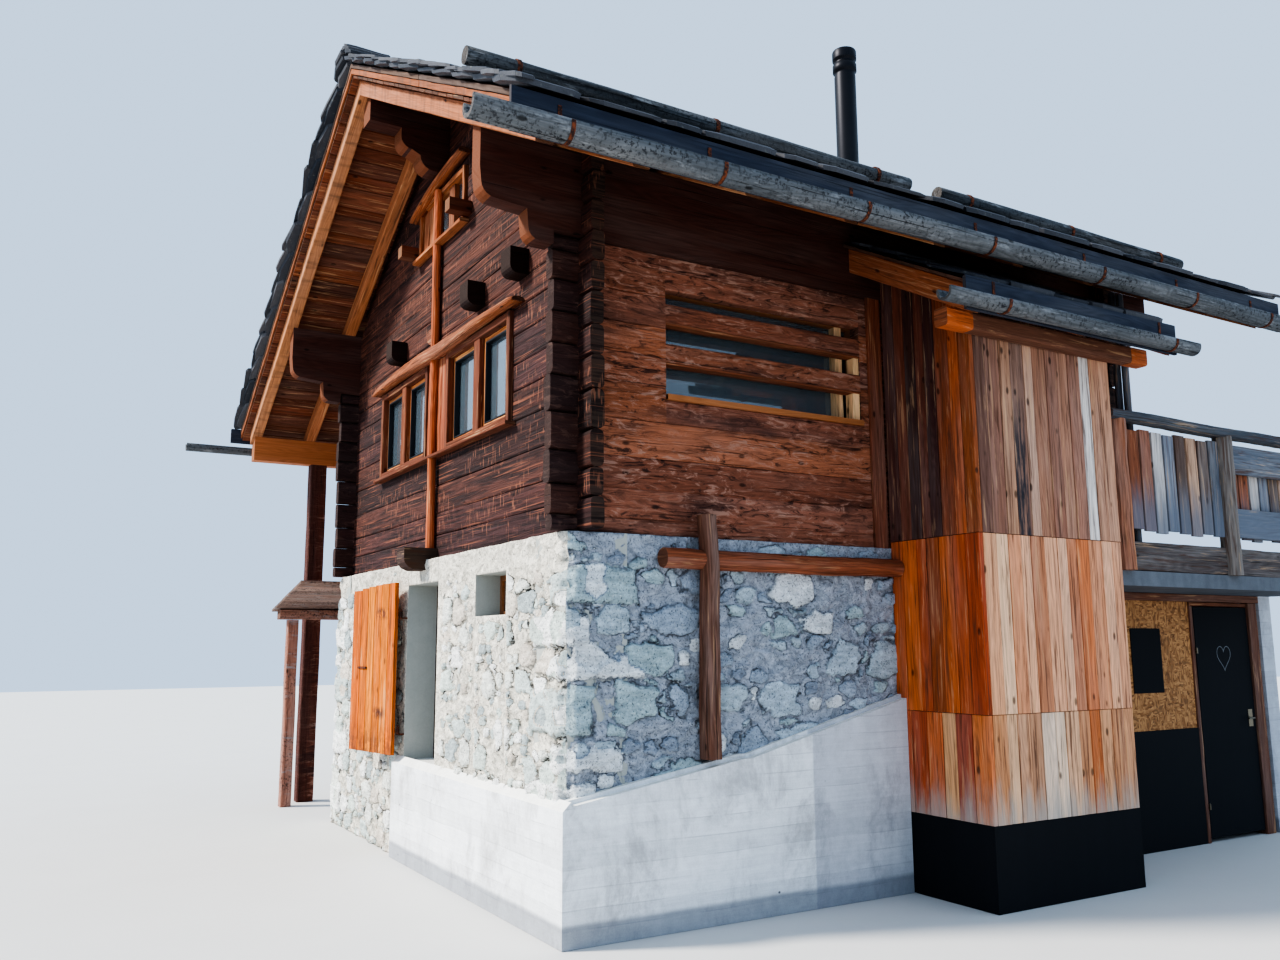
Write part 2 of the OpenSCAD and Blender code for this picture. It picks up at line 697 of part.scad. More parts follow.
module fascia() color("darkslategray") {
    z1 = rafter_z(deck_xr) + rafter_d + deck_d;
    along_y(slate_y0, house_d - slate_y0) polygon([
        [deck_xr, z1 - 270], [deck_xr + fascia_t - 8, z1 - 270], [deck_xr + fascia_t - 8, z1 - 140],
        [fascia_x1, z1 - 140], [fascia_x1, z1 - pitch_t * fascia_t], [deck_xr, z1]]);
    // far side
    z2 = rafter_z(deck_xl) + rafter_d + deck_d;
    along_y(slate_y0, house_d - slate_y0) polygon([
        [deck_xl, z2 - 170], [deck_xl - fascia_t, z2 - 170], [deck_xl - fascia_t, z2 - pitch_t * fascia_t],
        [deck_xl, z2]]);
}

// A log hollowed to a gutter
module gutter_log(x, z, r, y0, y1) along_y(y0, y1) translate([x, z]) difference() {
    circle(r = r);
    circle(r = r * 0.7);
    translate([-r * 0.7, 0]) square([r * 1.4, r * 1.1]);
}

far_gutter_x = deck_xl - fascia_t - gutter_gap - annex_gutter_r;
far_gutter_z = rafter_z(deck_xl) + 60;

module gutters() color("silver") {
    gutter_log(gutter_x, gutter_z, gutter_r, gutter_y0, house_d - gutter_y0);
    gutter_log(far_gutter_x, far_gutter_z, annex_gutter_r, gutter_y0 - 200, house_d - gutter_y0);
    gutter_log(annex_gutter_x, annex_gutter_z, annex_gutter_r,
        annex_verge_y0 - 360, annex_verge_y1 + 160);
}

// A strap from the fascia and a band round the underside of a gutter log
module hook(x, z, r, y, side) translate([x, y - hook_w / 2, z]) mirror([side, 0, 0]) {
    along_y(0, hook_w) {
        // a strap of flat strips that touch the log at their middles
        difference() {
            rotate(15) circle(r = (r + hook_t) / cos(15), $fn = 12);
            rotate(15) circle(r = (r + seat) / cos(15), $fn = 12);
            translate([-r * 2, 0]) square(r * 4);
        }
        // both straps start a little inside the band
        translate([r + 1, -2]) square([hook_t - 2, r * 0.9 + 2]);
        translate([-r - gutter_gap, -2]) square([hook_t, hook_rise + 2]);
    }
}

module gutter_hooks() color("sienna") {
    for (y = hook_ys) {
        hook(gutter_x, gutter_z, gutter_r, y, 0);
        hook(far_gutter_x, far_gutter_z, annex_gutter_r, y, 1);
    }
    for (y = annex_hook_ys)
        hook(annex_gutter_x, annex_gutter_z, annex_gutter_r, y, 0);
}

module snow_logs() color("slategray") {
    slate_top = rafter_z(snow_x) + rafter_d + deck_d + slate_thick;
    ends = [[slate_y0 + 50, snow_break_y], [snow_break_y + snow_break, house_d - slate_y0 - 50]];
    for (e = ends) {
        translate([snow_x, e[0], slate_top + snow_r + 15]) rotate([-90, 0, 0])
            cylinder(r = snow_r, h = e[1] - e[0]);
        for (i = [0:2]) {
            y = e[0] + snow_strap_in + i * (e[1] - e[0] - 2 * snow_strap_in) / 2;
            difference() {
                block([snow_x - 70, y - 20, slate_top - 110], [snow_x + 70, y + 20, slate_top + snow_r]);
                along_y(y - 21, y + 21) right_slate_outline();
                along_y(y - 21, y + 21) slope_strip(ridge_x, deck_xr, rafter_d, rafter_d + deck_d + 1);
            }
        }
    }
}

module flue() color("dimgray") {
    top = stone_top + flue_rise;
    difference() {
        translate([flue_x, flue_y, rafter_z(flue_x)]) cylinder(r = flue_r, h = top - cowl_h - rafter_z(flue_x));
        along_y(flue_y - 200, flue_y + 200) slope_strip(flue_x - 200, flue_x + 200, -300, rafter_d + deck_d + seat);
    }
    // cowl of two drums with a narrow neck between them
    translate([flue_x, flue_y, top - cowl_h]) rotate_extrude() polygon([[0, 0], [flue_r - 5, 0],
        [flue_r + 12, 30], [flue_r + 12, 100], [flue_r - 5, 125], [flue_r + 14, 150],
        [flue_r + 14, 240], [flue_r - 5, cowl_h], [0, cowl_h]]);
}

// One window pair: outer frame, middle bar and two sashes
module window_pair(x0, x1, z0, z1) {
    y0 = gable_y0 - win_proud;
    mid = (x0 + x1) / 2;
    difference() {
        block([x0, y0, z0], [x1, gable_y1, z1]);
        block([x0 + win_bar, y0 - 1, z0 + win_bar], [x1 - win_bar, gable_y1 + 1, z1 - win_bar]);
    }
    block([mid - win_bar, y0 + 10, z0 + win_bar], [mid + win_bar, gable_y0 + 60, z1 - win_bar]);
    for (s = [[x0 + win_bar, mid - win_bar], [mid + win_bar, x1 - win_bar]]) difference() {
        block([s[0], gable_y0 + 20, z0 + win_bar], [s[1], gable_y0 + 60, z1 - win_bar]);
        block([s[0] + 45, gable_y0, z0 + win_bar + 45], [s[1] - 45, gable_y0 + 80, z1 - win_bar - 45]);
    }
}

module gable_windows() color("peru") {
    z0 = seam(sill_course);
    z1 = seam(head_course);
    pair = (band_w - band_panel) / 2;
    window_pair(band_x0, band_x0 + pair, z0, z1);
    window_pair(band_x1 - pair, band_x1, z0, z1);
    block([band_x0 + pair, gable_y0 - panel_out, z0], [band_x1 - pair, gable_y1, z1]);
    // sill board
    block([band_x0 - 40, gable_y0 - 85, z0 - sill_board_t], [band_x1 + 60, gable_y0, z0]);
}

module window_glass() color("lightblue") {
    z0 = seam(sill_course) + win_bar;
    z1 = seam(head_course) - win_bar;
    pair = (band_w - band_panel) / 2;
    for (x0 = [band_x0, band_x1 - pair])
        block([x0 + win_bar, gable_y0 + 60, z0], [x0 + pair - win_bar, gable_y0 + 60 + glass_t, z1]);
    block([side_x0 - 80, side_win_y, stone_top + side_slots[0][0]],
        [side_x0 - 80 + glass_t, side_win_y + side_win_w, stone_top + side_slots[2][1]]);
    block([ridge_x - attic_w / 2 + 45, gable_y0 + 50, stone_top + attic_rise + 45],
        [ridge_x + attic_w / 2 - 45, gable_y0 + 50 + glass_t, stone_top + attic_rise + attic_h - 45]);
    block([cellar_x0 + 40, cellar_set + 20, cellar_z0 + 40],
        [cellar_x0 + cellar_w - 40, cellar_set + 20 + glass_t, cellar_z0 + cellar_h - 40]);
}

// How far the lintel's top and its foot reach past the windows, left and right
lintel_past = [100, 220];
lintel_foot = [60, 200];
lintel_t = 110;
// Its height at the ends, the bow on top of that, and a lopsided wave
lintel_end_h = 40;
lintel_bow = 85;
lintel_wave = 25;

// Split log over the windows, bowed along its upper edge
module gable_lintel() color("peru") {
    z0 = seam(head_course);
    n = 12;
    span = band_w + lintel_past[0] + lintel_past[1];
    along_y(gable_y0 - lintel_t, gable_y0)
        polygon(concat([[band_x0 - lintel_foot[0], z0], [band_x1 + lintel_foot[1], z0]],
            [for (i = [n:-1:0]) let (u = i / n) [band_x0 - lintel_past[0] + u * span,
                z0 + lintel_end_h + lintel_bow * sin(u * 180) + lintel_wave * sin(u * 360)]]));
}

module attic_frame() {
    z0 = stone_top + attic_rise;
    z1 = z0 + attic_h;
    x0 = ridge_x - attic_w / 2;
    x1 = ridge_x + attic_w / 2;
    difference() {
        block([x0, gable_y0 - win_proud, z0], [x1, gable_y1, z1]);
        block([x0 + 45, gable_y0 - win_proud - 1, z0 + 45], [x1 - 45, gable_y1 + 1, z1 - 45]);
    }
    block([x0 + 45, gable_y0, z0 + 45], [x0 + attic_w * 0.38, gable_y0 + 50, z1 - 45]);
    block([ridge_x + 130, gable_y0, z0 + 45], [ridge_x + 260, gable_y0 + 50, z1 - 45]);
    // sill board
    block([x0 - 40, gable_y0 - 80, z0 - 35], [x1 + 40, gable_y0, z0]);
    // bowed hood board
    along_y(gable_y0 - 110, gable_y0) polygon(concat([[x0 - 40, z1], [x1 + 40, z1]],
        [for (i = [8:-1:0]) [x0 - 60 + i * (attic_w + 120) / 8, z1 + 30 + 55 * sin(i * 22.5)]]));
}

module attic_window() color("peru") difference() {
    attic_frame();
    block([pole_x - pole_r - seat, gable_y0 - 200, 0],
        [pole_x + pole_r + seat, gable_y0, pole_top + seat]);
}

// A round pole, flat at the back, with its back at y, its radius r and drawn out k times to the front
module pole(z0, z1, y, r, k)
    translate([0, 0, z0]) linear_extrude(z1 - z0)
        polygon([for (p = arc(pole_x, y, r, 180, 360, 8)) [p[0], y - k * (y - p[1])]]);

module centre_pole() color("sienna") {
    head = seam(head_course);
    sill = seam(sill_course);
    beam_top = stone_top + beam_end_h;
    pole(head + bracket_r + 15, pole_top, gable_y0, pole_r, 2);
    // lower pole before the logs, and a slimmer piece before the boarded panel
    pole(beam_top + seat, sill - sill_board_t, gable_y0, pole_r, 2);
    pole(sill, head - 5, gable_y0 - panel_out, pole_r - 8, 1.6);
    // beam end under the pole
    along_x(pole_x - 100, pole_x + 100)
        polygon(concat([[gable_y0, stone_top], [gable_y0, beam_top], [-beam_end_out, beam_top]],
            arc(beam_end_r - beam_end_out, stone_top, beam_end_r, 180, 270, 5),
            [[0, stone_top - beam_end_r], [0, stone_top]]));
    // quarter-round bracket over the lintel
    along_y(gable_y0 - 60, gable_y0)
        polygon(concat([[pole_x - pole_r, head + 2 * bracket_r]],
            arc(pole_x - pole_r, head + 2 * bracket_r, bracket_r, 180, 270, 6)));
}

module beam_stubs() color("black") {
    z0 = stone_top + plate_rise - 10;
    r = stub_out * 0.4;
    for (p = stub_places)
        along_x(ridge_x + p, ridge_x + p + stub_w)
            polygon(concat([[gable_y0, z0], [gable_y0, z0 + stub_d], [gable_y0 - stub_out, z0 + stub_d]],
                arc(gable_y0 - stub_out + r, z0 + r, r, 180, 270, 4)));
    // short bearers beside the attic window's sill
    for (x = [ridge_x - attic_w / 2 - bearer_w, ridge_x + attic_w / 2])
        block([x, gable_y0 - bearer_out, stone_top + attic_rise + 20],
            [x + bearer_w, gable_y0, stone_top + attic_rise + 20 + bearer_w]);
}

module side_window() color("burlywood") {
    z0 = stone_top + side_slots[0][0];
    z1 = stone_top + side_slots[2][1];
    y1 = side_win_y + side_win_w;
    difference() {
        block([side_x0 - 110, side_win_y - 30, z0 - 30], [side_x0, y1 + 30, z1 + 30]);
        block([side_x0 - 120, side_win_y, z0], [side_x0 + 1, y1, z1]);
    }
    // sill board in the lowest slot
    block([side_x0, side_win_y, z0], [side_x1 + 25, y1, z0 + 40]);
}

cross_y = 970;
beam_y0 = 680;
cross_w = 130;
beam_r = 70;
beam_z = stone_top - 160;

module cross_post() color("sienna") difference() {
    along_x(30, 30 + cross_w)
        polygon([[cross_y, ramp_z(cross_y)], [cross_y + cross_w, ramp_z(cross_y + cross_w)],
            [cross_y + cross_w, stone_top + 150], [cross_y, stone_top + 150]]);
    block([0, cross_y - 1, beam_z - beam_r], [30 + cross_w / 2, cross_y + cross_w + 1, beam_z + beam_r]);
}

module cross_beam() color("sienna") difference() {
    translate([beam_r, beam_y0, beam_z]) rotate([-90, 0, 0])
        cylinder(r = beam_r, h = annex_y - annex_out(2) - beam_y0);
    block([30 + cross_w / 2, cross_y, beam_z - 100], [300, cross_y + cross_w, beam_z + 100]);
}

module cellar_window() color("peru") difference() {
    block([cellar_x0, cellar_set, cellar_z0], [cellar_x0 + cellar_w, cellar_set + 50, cellar_z0 + cellar_h]);
    block([cellar_x0 + 40, cellar_set - 1, cellar_z0 + 40],
        [cellar_x0 + cellar_w - 40, cellar_set + 51, cellar_z0 + cellar_h - 40]);
}

pin_x = door_x0 - 5;
leaf_z0 = plinth_top + leaf_lift;
// Hinge knuckles above the foot of the leaf
knuckle_lifts = [180, 1180];
knuckle_zs = [for (lift = knuckle_lifts) leaf_z0 + lift];
knuckle_r = 14;

// The plank door as it closes, then turned to where it stands open
module plank_door() color("darkorange")
    translate([pin_x, -pin_out, 0]) rotate([0, 0, -leaf_open]) difference() {
        union() {
            y0 = pin_out - leaf_gap - leaf_t;
            along_y(y0, y0 + leaf_t)
                polygon(concat([[5, leaf_z0], [5 + leaf_w, leaf_z0]],
                    [for (i = [6:-1:0]) [5 + leaf_w * i / 6, leaf_z0 + leaf_h - leaf_drop * pow(i / 6, 2)]]));
            for (z = knuckle_zs) {
                translate([0, 0, z]) cylinder(r = knuckle_r, h = knuckle_h, $fn = 12);
                block([0, pin_r + 1, z + 8], [20, y0, z + knuckle_h - 8]);
                block([10, y0 - hook_t, z + 8], [strap_len, y0, z + knuckle_h - 8]);
            }
        }
        for (z = knuckle_zs)
            translate([0, 0, z - 1]) cylinder(r = pin_r + 0.05, h = knuckle_h + 2);
    }

module door_pintles() color("dimgray") for (z = knuckle_zs) translate([pin_x, -pin_out, z]) {
    translate([0, 0, -12.3]) cylinder(r = knuckle_r, h = 12, $fn = 12);
    translate([0, 0, -12.3]) cylinder(r = pin_r, h = knuckle_h + 25);
    block([-22, 0, -12.3], [-4, pin_out, -0.3]);
}

jamb_x0 = door_x0 + frame_bar;
jamb_x1 = door_x1 - frame_bar;
inner_head = door_head - frame_bar;
inner_pin_x = jamb_x1 - leaf_clear / 2;
inner_pin_y = inner_set + 10;
inner_pin_r = 5;
inner_knuckle_lifts = [250, 1150];
inner_knuckle_zs = [for (lift = inner_knuckle_lifts) sill_z + lift];

module inner_door_frame() color("saddlebrown") {
    block([door_x0, inner_set - frame_depth, sill_z], [jamb_x0, inner_set, door_head]);
    block([jamb_x1, inner_set - frame_depth, sill_z], [door_x1, inner_set, door_head]);
    block([jamb_x0, inner_set - frame_depth, inner_head], [jamb_x1, inner_set, door_head]);
    for (z = inner_knuckle_zs) translate([inner_pin_x, inner_pin_y, z]) {
        translate([0, 0, -8.3]) cylinder(r = 9, h = 8, $fn = 12);
        translate([0, 0, -8.3]) cylinder(r = inner_pin_r, h = 55);
        block([4, -10, -8.3], [40, -2, -0.3]);
    }
}

module inner_door() color("saddlebrown") difference() {
    union() {
        difference() {
            block([jamb_x0 + leaf_clear, inner_set - inner_t, sill_z + leaf_clear],
                [jamb_x1 - leaf_clear, inner_set, inner_head - leaf_clear]);
            // sunk panel of the glazed upper part
            block([jamb_x0 + 110, inner_set - inner_t - 1, sill_z + 120],
                [jamb_x1 - 110, inner_set - inner_t + 15, inner_head - 120]);
        }
        for (z = inner_knuckle_zs) translate([inner_pin_x, inner_pin_y, z]) {
            cylinder(r = 9, h = 40, $fn = 12);
            block([-60, -10, 0], [-3, -3, 40]);
        }
    }
    for (z = inner_knuckle_zs) translate([inner_pin_x, inner_pin_y, z - 1])
        cylinder(r = inner_pin_r + 0.05, h = 42);
}

annex_zs = concat([0], annex_tiers);

// Both end walls of the annex; the boarded tiers of the one in view step out over each other
module annex_sides() color("peru") {
    for (i = [0:3]) {
        out = annex_out(i);
        top = i < 3 ? [[annex_w + out, annex_zs[i + 1]], [0, annex_zs[i + 1]]]
            : [[annex_w + out, annex_z(annex_w + out)], [0, annex_z(0)]];
        along_y(annex_y - out, annex_y + annex_t)
            polygon(concat([[0, annex_zs[i]], [annex_w + out, annex_zs[i]]], top));
    }
    along_y(annex_y1 - annex_t, annex_y1)
        polygon([[0, 0], [annex_w - annex_t, 0], [annex_w - annex_t, annex_z(annex_w - annex_t)], [0, annex_z(0)]]);
}

module annex_front() color("burlywood") {
    tiers = concat(annex_zs, [annex_z(annex_w + annex_out(3))]);
    for (i = [0:3])
        block([annex_w - annex_t, annex_y + annex_t, tiers[i]],
            [annex_w + annex_out(i), annex_y1, tiers[i + 1]]);
}

module annex_roof() color("slategray") {
    low = annex_rafter_d + seat;
    along_y(annex_verge_y0 - 60, annex_verge_y1 + 60)
        polygon(concat([[0, annex_z(0) + low], [annex_eave_x, annex_z(annex_eave_x) + low]],
            [for (i = [4:-1:1]) each [
                [annex_eave_x * i / 4, annex_z(annex_eave_x * i / 4) + low + 85],
                [annex_eave_x * (i - 1) / 4, annex_z(annex_eave_x * (i - 1) / 4) + low + 60]]]));
    // fascia board
    z1 = annex_z(annex_eave_x) + low;
    along_y(annex_verge_y0 - 60, annex_verge_y1 + 60)
        polygon([[annex_eave_x, z1 - 190], [annex_eave_x + fascia_t, z1 - 190],
            [annex_eave_x + fascia_t, z1 + 70], [annex_eave_x, z1 + 85]]);
}

module annex_rafters() color("darkorange")
    for (y = [annex_verge_y0, annex_y + annex_d / 2, annex_verge_y1 - 80])
        along_y(y, y + 80) polygon([[0, annex_z(0) + seat], [annex_eave_x, annex_z(annex_eave_x) + seat],
            [annex_eave_x, annex_z(annex_eave_x) + annex_rafter_d], [0, annex_z(0) + annex_rafter_d]]);

module annex_purlin() color("darkorange") {
    x0 = annex_w + annex_out(3);
    x1 = x0 + annex_purlin_w;
    along_y(annex_verge_y0 - 20, annex_verge_y1)
        polygon([[x0, annex_z(x1) - 140], [x1, annex_z(x1) - 140], [x1, annex_z(x1)], [x0, annex_z(x0)]]);
}

module terrace_slab() color("lightgray")
    translate([0, 0, terrace_z]) linear_extrude(terrace_t)
        polygon([[0, annex_y1], [terrace_edge, annex_y1], [terrace_edge, terrace_y],
            [store_x - store_t, terrace_y], [store_x - store_t, house_d], [0, house_d]]);

module terrace_beam() color("gray")
    block([terrace_edge - edge_beam_w, annex_y1, deck_z], [terrace_edge, terrace_y, deck_z + edge_beam_h]);

// A round-faced post on the outside of the edge beam
module rail_post(y) translate([0, 0, deck_z - 5]) linear_extrude(post_h)
    polygon([for (p = arc(0, 0, post_w / 2, -90, 90, 8)) [terrace_edge + p[0], y + p[1]]]);

rail_z = deck_z - 5 + post_h;

module railing() color("rosybrown") {
    for (i = [0:bays]) rail_post(post_y0 + i * bay);
    // handrail
    along_y(annex_y1, terrace_y)
        polygon(concat([[terrace_edge - 60, rail_z], [terrace_edge + 95, rail_z]],
            arc(terrace_edge + 17, rail_z + handrail_h - 60, 78, 0, 180, 6)));
    // boards of the bays, the first bay's outside two battens and the second's behind two broad planks
    for (b = [0:bays - 1]) {
        y0 = post_y0 + b * bay + post_w / 2 + 20;
        y1 = post_y0 + (b + 1) * bay - post_w / 2 - 20;
        for (z = [deck_z + 400, deck_z + 960])
            block([terrace_edge - 30, post_y0 + b * bay - post_w / 2, z],
                [terrace_edge, post_y0 + (b + 1) * bay + (b == 0 ? -post_w / 2 : post_w / 2), z + 70]);
        out = b == 0 ? terrace_edge : terrace_edge - 30 - rail_board_t;
        for (i = [0:rail_boards - 1])
            block([out, y0 + i * (y1 - y0) / rail_boards + 8, deck_z + rail_board_z0],
                [out + rail_board_t, y0 + (i + 1) * (y1 - y0) / rail_boards - 8, deck_z + rail_board_z1]);
        // the planks fill the way between the posts
        if (b == 1) for (z = rail_plank_zs)
            block([terrace_edge, y0 - 20 - rail_plank_in, deck_z + z],
                [terrace_edge + rail_plank_t, y1 + 20 + rail_plank_in, deck_z + z + rail_plank_h]);
    }
}

module store_front() color("tan") {
    block([store_face, annex_y1, 0], [store_face + store_wall_t, store_door_y0 - 50, store_door_h + 40]);
    block([store_face + store_wall_t, annex_y1, 0], [store_face + store_wall_t + 12, store_door_y0 - 50, 1020]);
    block([0, annex_y1, 0], [store_face, annex_y1 + 60, store_door_h + 40]);
    block([0, house_d - 60, 0], [store_face, house_d, store_door_h + 40]);
}

module store_frame() color("saddlebrown") {
    x0 = store_face - 20;
    x1 = store_face + 80;
    block([x0, store_door_y0 - 50, 0], [x1 - 20, store_door_y0, store_door_h]);
    block([x0, store_door_y1, 0], [x1, store_door_y1 + 140, store_door_h + 40]);
    block([x0, store_door_y0 - 50, store_door_h], [x1 - 20, store_door_y1, store_door_h + 40]);
    // beam over the front
    block([x0, annex_y1, store_door_h + 40], [x1, terrace_y - store_t, terrace_z]);
    for (z = store_knuckle_zs) translate([store_pin_x, store_pin_y, z]) {
        translate([0, 0, -8.3]) cylinder(r = 9, h = 8, $fn = 12);
        translate([0, 0, -8.3]) cylinder(r = inner_pin_r, h = 55);
        block([-10, -40, -8.3], [-2, -4, -0.3]);
    }
}

store_leaf_x1 = store_face + 60;
store_pin_x = store_leaf_x1 + 10;
store_pin_y = store_door_y0 + leaf_clear / 2;
store_knuckle_zs = [300, 1700];

module store_door() color("black") difference() {
    union() {
        block([store_leaf_x1 - 45, store_door_y0 + leaf_clear, 40],
            [store_leaf_x1, store_door_y1 - leaf_clear, store_door_h - leaf_clear]);
        for (z = store_knuckle_zs) translate([store_pin_x, store_pin_y, z]) {
            cylinder(r = 9, h = 40, $fn = 12);
            block([-10, 3, 0], [-3, 70, 40]);
        }
        // lever handle
        translate([store_leaf_x1, store_door_y1 - 90, 1080]) rotate([0, 90, 0]) cylinder(r = 9, h = 50);
        block([store_leaf_x1 + 38, store_door_y1 - 200, 1071], [store_leaf_x1 + 52, store_door_y1 - 82, 1089]);
    }
    for (z = store_knuckle_zs) translate([store_pin_x, store_pin_y, z - 1])
        cylinder(r = inner_pin_r + 0.05, h = 42);
}

module store_walls() color("gray") {
    block([store_x - store_t, house_d, 0], [store_x, terrace_y - store_t, terrace_z]);
    block([store_x - store_t, terrace_y - store_t, 0], [store_face + 80, terrace_y, terrace_z]);
}

// Lean-to against the far side wall
lean_x = rafter_xl + 250;
lean_y0 = -350;
lean_y1 = 2600;
lean_z = stone_top - 300;

module lean_to_posts() color("rosybrown")
    for (y = [lean_y0 + 100, lean_y1 - 220])
        block([lean_x + 60, y, 0], [lean_x + 180, y + 120, lean_z - 120]);

module lean_to_roof() color("rosybrown") {
    block([lean_x + 40, lean_y0, lean_z - 120], [lean_x + 200, lean_y1, lean_z]);
    along_y(lean_y0 - 60, lean_y1 + 60)
        polygon([[lean_x - 60, lean_z - 30], [lean_x + 40, lean_z], [lean_x + 200, lean_z],
            [-house_w, lean_z + 230], [-house_w, lean_z + 275], [lean_x - 60, lean_z + 15]]);
}

plinth_front();
plinth_side();
stone_front_left();
stone_front_right();
stone_front_lintel();
stone_sides();
stone_rear();
ground_floor();
upper_floor();
logs_front_lower();
logs_front_middle();
logs_front_gable();
logs_side();
logs_left();
logs_rear();
ridge_purlin();
ridge_consoles();
wall_plates();
outer_purlin();
outer_posts();
terrace_props();
cover_board();
rafters();
roof_deck();
slates();
ridge_slates();
verge_boards();
fascia();
gutters();
gutter_hooks();
snow_logs();
flue();
gable_windows();
window_glass();
gable_lintel();
attic_window();
centre_pole();
beam_stubs();
side_window();
cross_post();
cross_beam();
cellar_window();
plank_door();
door_pintles();
inner_door_frame();
inner_door();
annex_sides();
annex_front();
annex_roof();
annex_rafters();
annex_purlin();
terrace_slab();
terrace_beam();
railing();
store_front();
store_frame();
store_door();
store_walls();
lean_to_posts();
lean_to_roof();
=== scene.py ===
# %% [markdown]
# # An alpine chalet
# A rubble stone ground storey carries a storey of stacked logs under a wide slate roof.
# The CAD model arrives as a fixed frame of solids. Each cell dresses one part of it: the piece
# is worked out as arrays of points with numpy, and then gets a finish made of shader nodes.

# %% The frame, and its box before anything is added
import bpy
import math
import numpy as np
from mathutils import Euler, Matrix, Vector


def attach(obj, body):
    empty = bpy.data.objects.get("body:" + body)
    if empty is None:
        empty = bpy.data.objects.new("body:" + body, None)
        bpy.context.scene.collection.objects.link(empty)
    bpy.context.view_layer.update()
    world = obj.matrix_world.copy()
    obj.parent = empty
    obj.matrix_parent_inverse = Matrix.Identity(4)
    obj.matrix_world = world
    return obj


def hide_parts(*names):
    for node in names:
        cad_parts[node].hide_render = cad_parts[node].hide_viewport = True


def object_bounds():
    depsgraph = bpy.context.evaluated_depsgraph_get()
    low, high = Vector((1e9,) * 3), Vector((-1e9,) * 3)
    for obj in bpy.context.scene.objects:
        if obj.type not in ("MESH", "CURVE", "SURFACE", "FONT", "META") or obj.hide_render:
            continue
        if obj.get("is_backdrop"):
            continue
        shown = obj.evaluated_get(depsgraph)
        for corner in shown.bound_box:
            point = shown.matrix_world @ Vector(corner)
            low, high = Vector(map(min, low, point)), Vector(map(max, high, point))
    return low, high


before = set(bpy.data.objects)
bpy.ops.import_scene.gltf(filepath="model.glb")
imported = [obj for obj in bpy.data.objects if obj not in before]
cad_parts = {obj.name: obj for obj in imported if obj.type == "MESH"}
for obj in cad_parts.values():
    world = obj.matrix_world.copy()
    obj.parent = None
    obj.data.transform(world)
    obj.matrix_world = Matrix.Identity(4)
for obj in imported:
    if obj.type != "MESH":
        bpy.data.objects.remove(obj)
corners = lambda pair: [[float(c) for c in p] for p in pair]
cad_box = corners(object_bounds())
print("CAD box:", cad_box)

# %% [markdown]
# ## Camera, light and floor
# The photographer stood before the corner, low down, and looked up a little. The view is fixed
# by three turns and a place. The sun came over the left shoulder onto the gable, so one soft sun
# does that here, and a pale sky fills the shade. A plain floor catches the shadow.

# %% Camera
camera = bpy.data.cameras.new("view")
camera.sensor_width, camera.lens = 36, 29.58
eye = bpy.data.objects.new("view", camera)
bpy.context.scene.collection.objects.link(eye)
bpy.context.scene.camera = eye
turn, tilt, roll = math.radians(59.38), math.radians(8.93), math.radians(-0.25)
ahead = Vector((-math.sin(turn) * math.cos(tilt), math.cos(turn) * math.cos(tilt), math.sin(tilt)))
eye.rotation_mode = "QUATERNION"
eye.rotation_quaternion = ahead.to_track_quat("-Z", "Y") @ Euler((0, 0, roll)).to_quaternion()
eye.location = (6.002, -3.001, 1.79)

# %% Sun, sky and floor
sun = bpy.data.lights.new("sun", "SUN")
sun.energy, sun.angle, sun.color = 5.6, math.radians(9), (1.0, 0.95, 0.88)
lamp = bpy.data.objects.new("sun", sun)
lamp.rotation_mode = "QUATERNION"
lamp.rotation_quaternion = Vector((0.36, 0.78, -0.62)).to_track_quat("-Z", "Y")
bpy.context.scene.collection.objects.link(lamp)
sky = bpy.data.worlds.new("sky")
sky.use_nodes = True
bpy.context.scene.world = sky
sky.node_tree.nodes["Background"].inputs["Color"].default_value = (0.58, 0.76, 1.0, 1)
sky.node_tree.nodes["Background"].inputs["Strength"].default_value = 1.05
bpy.context.scene.view_settings.look = "AgX - High Contrast"

# %% [markdown]
# ## From arrays to a mesh
# Every piece below is a list of points and a list of faces that carry their own pattern
# coordinates. `Pile` gathers such arrays, writes them into one mesh and hands it to the frame.
# Three face values travel with it for the finishes: `tone`, a number of its own for each log or
# board, `end`, which is 1 on sawn ends, and `dye`, the wood's own colour.

# %% Colours as a painter names them, 0 to 255
def paint(*rgb):
    """Screen colour to linear light: (c + 0.055) / 1.055 to the power 2.4, or c / 12.92 when dark."""
    c = np.asarray(rgb, float) / 255
    return np.where(c > 0.04045, ((c + 0.055) / 1.055) ** 2.4, c / 12.92)


def tints(count, *shades, seed=1, spread=0.12):
    """A colour for each of count pieces: a mix of two neighbouring shades, lighter or darker at random."""
    rng = np.random.default_rng(seed)
    table = np.array([paint(*s) for s in shades])
    spot = rng.random(count) * (len(table) - 1)
    low = np.floor(spot).astype(int)
    high = np.minimum(low + 1, len(table) - 1)
    mixed = table[low] + (table[high] - table[low]) * (spot - low)[:, None]
    return mixed * (1 + spread * (rng.random(count) * 2 - 1))[:, None]


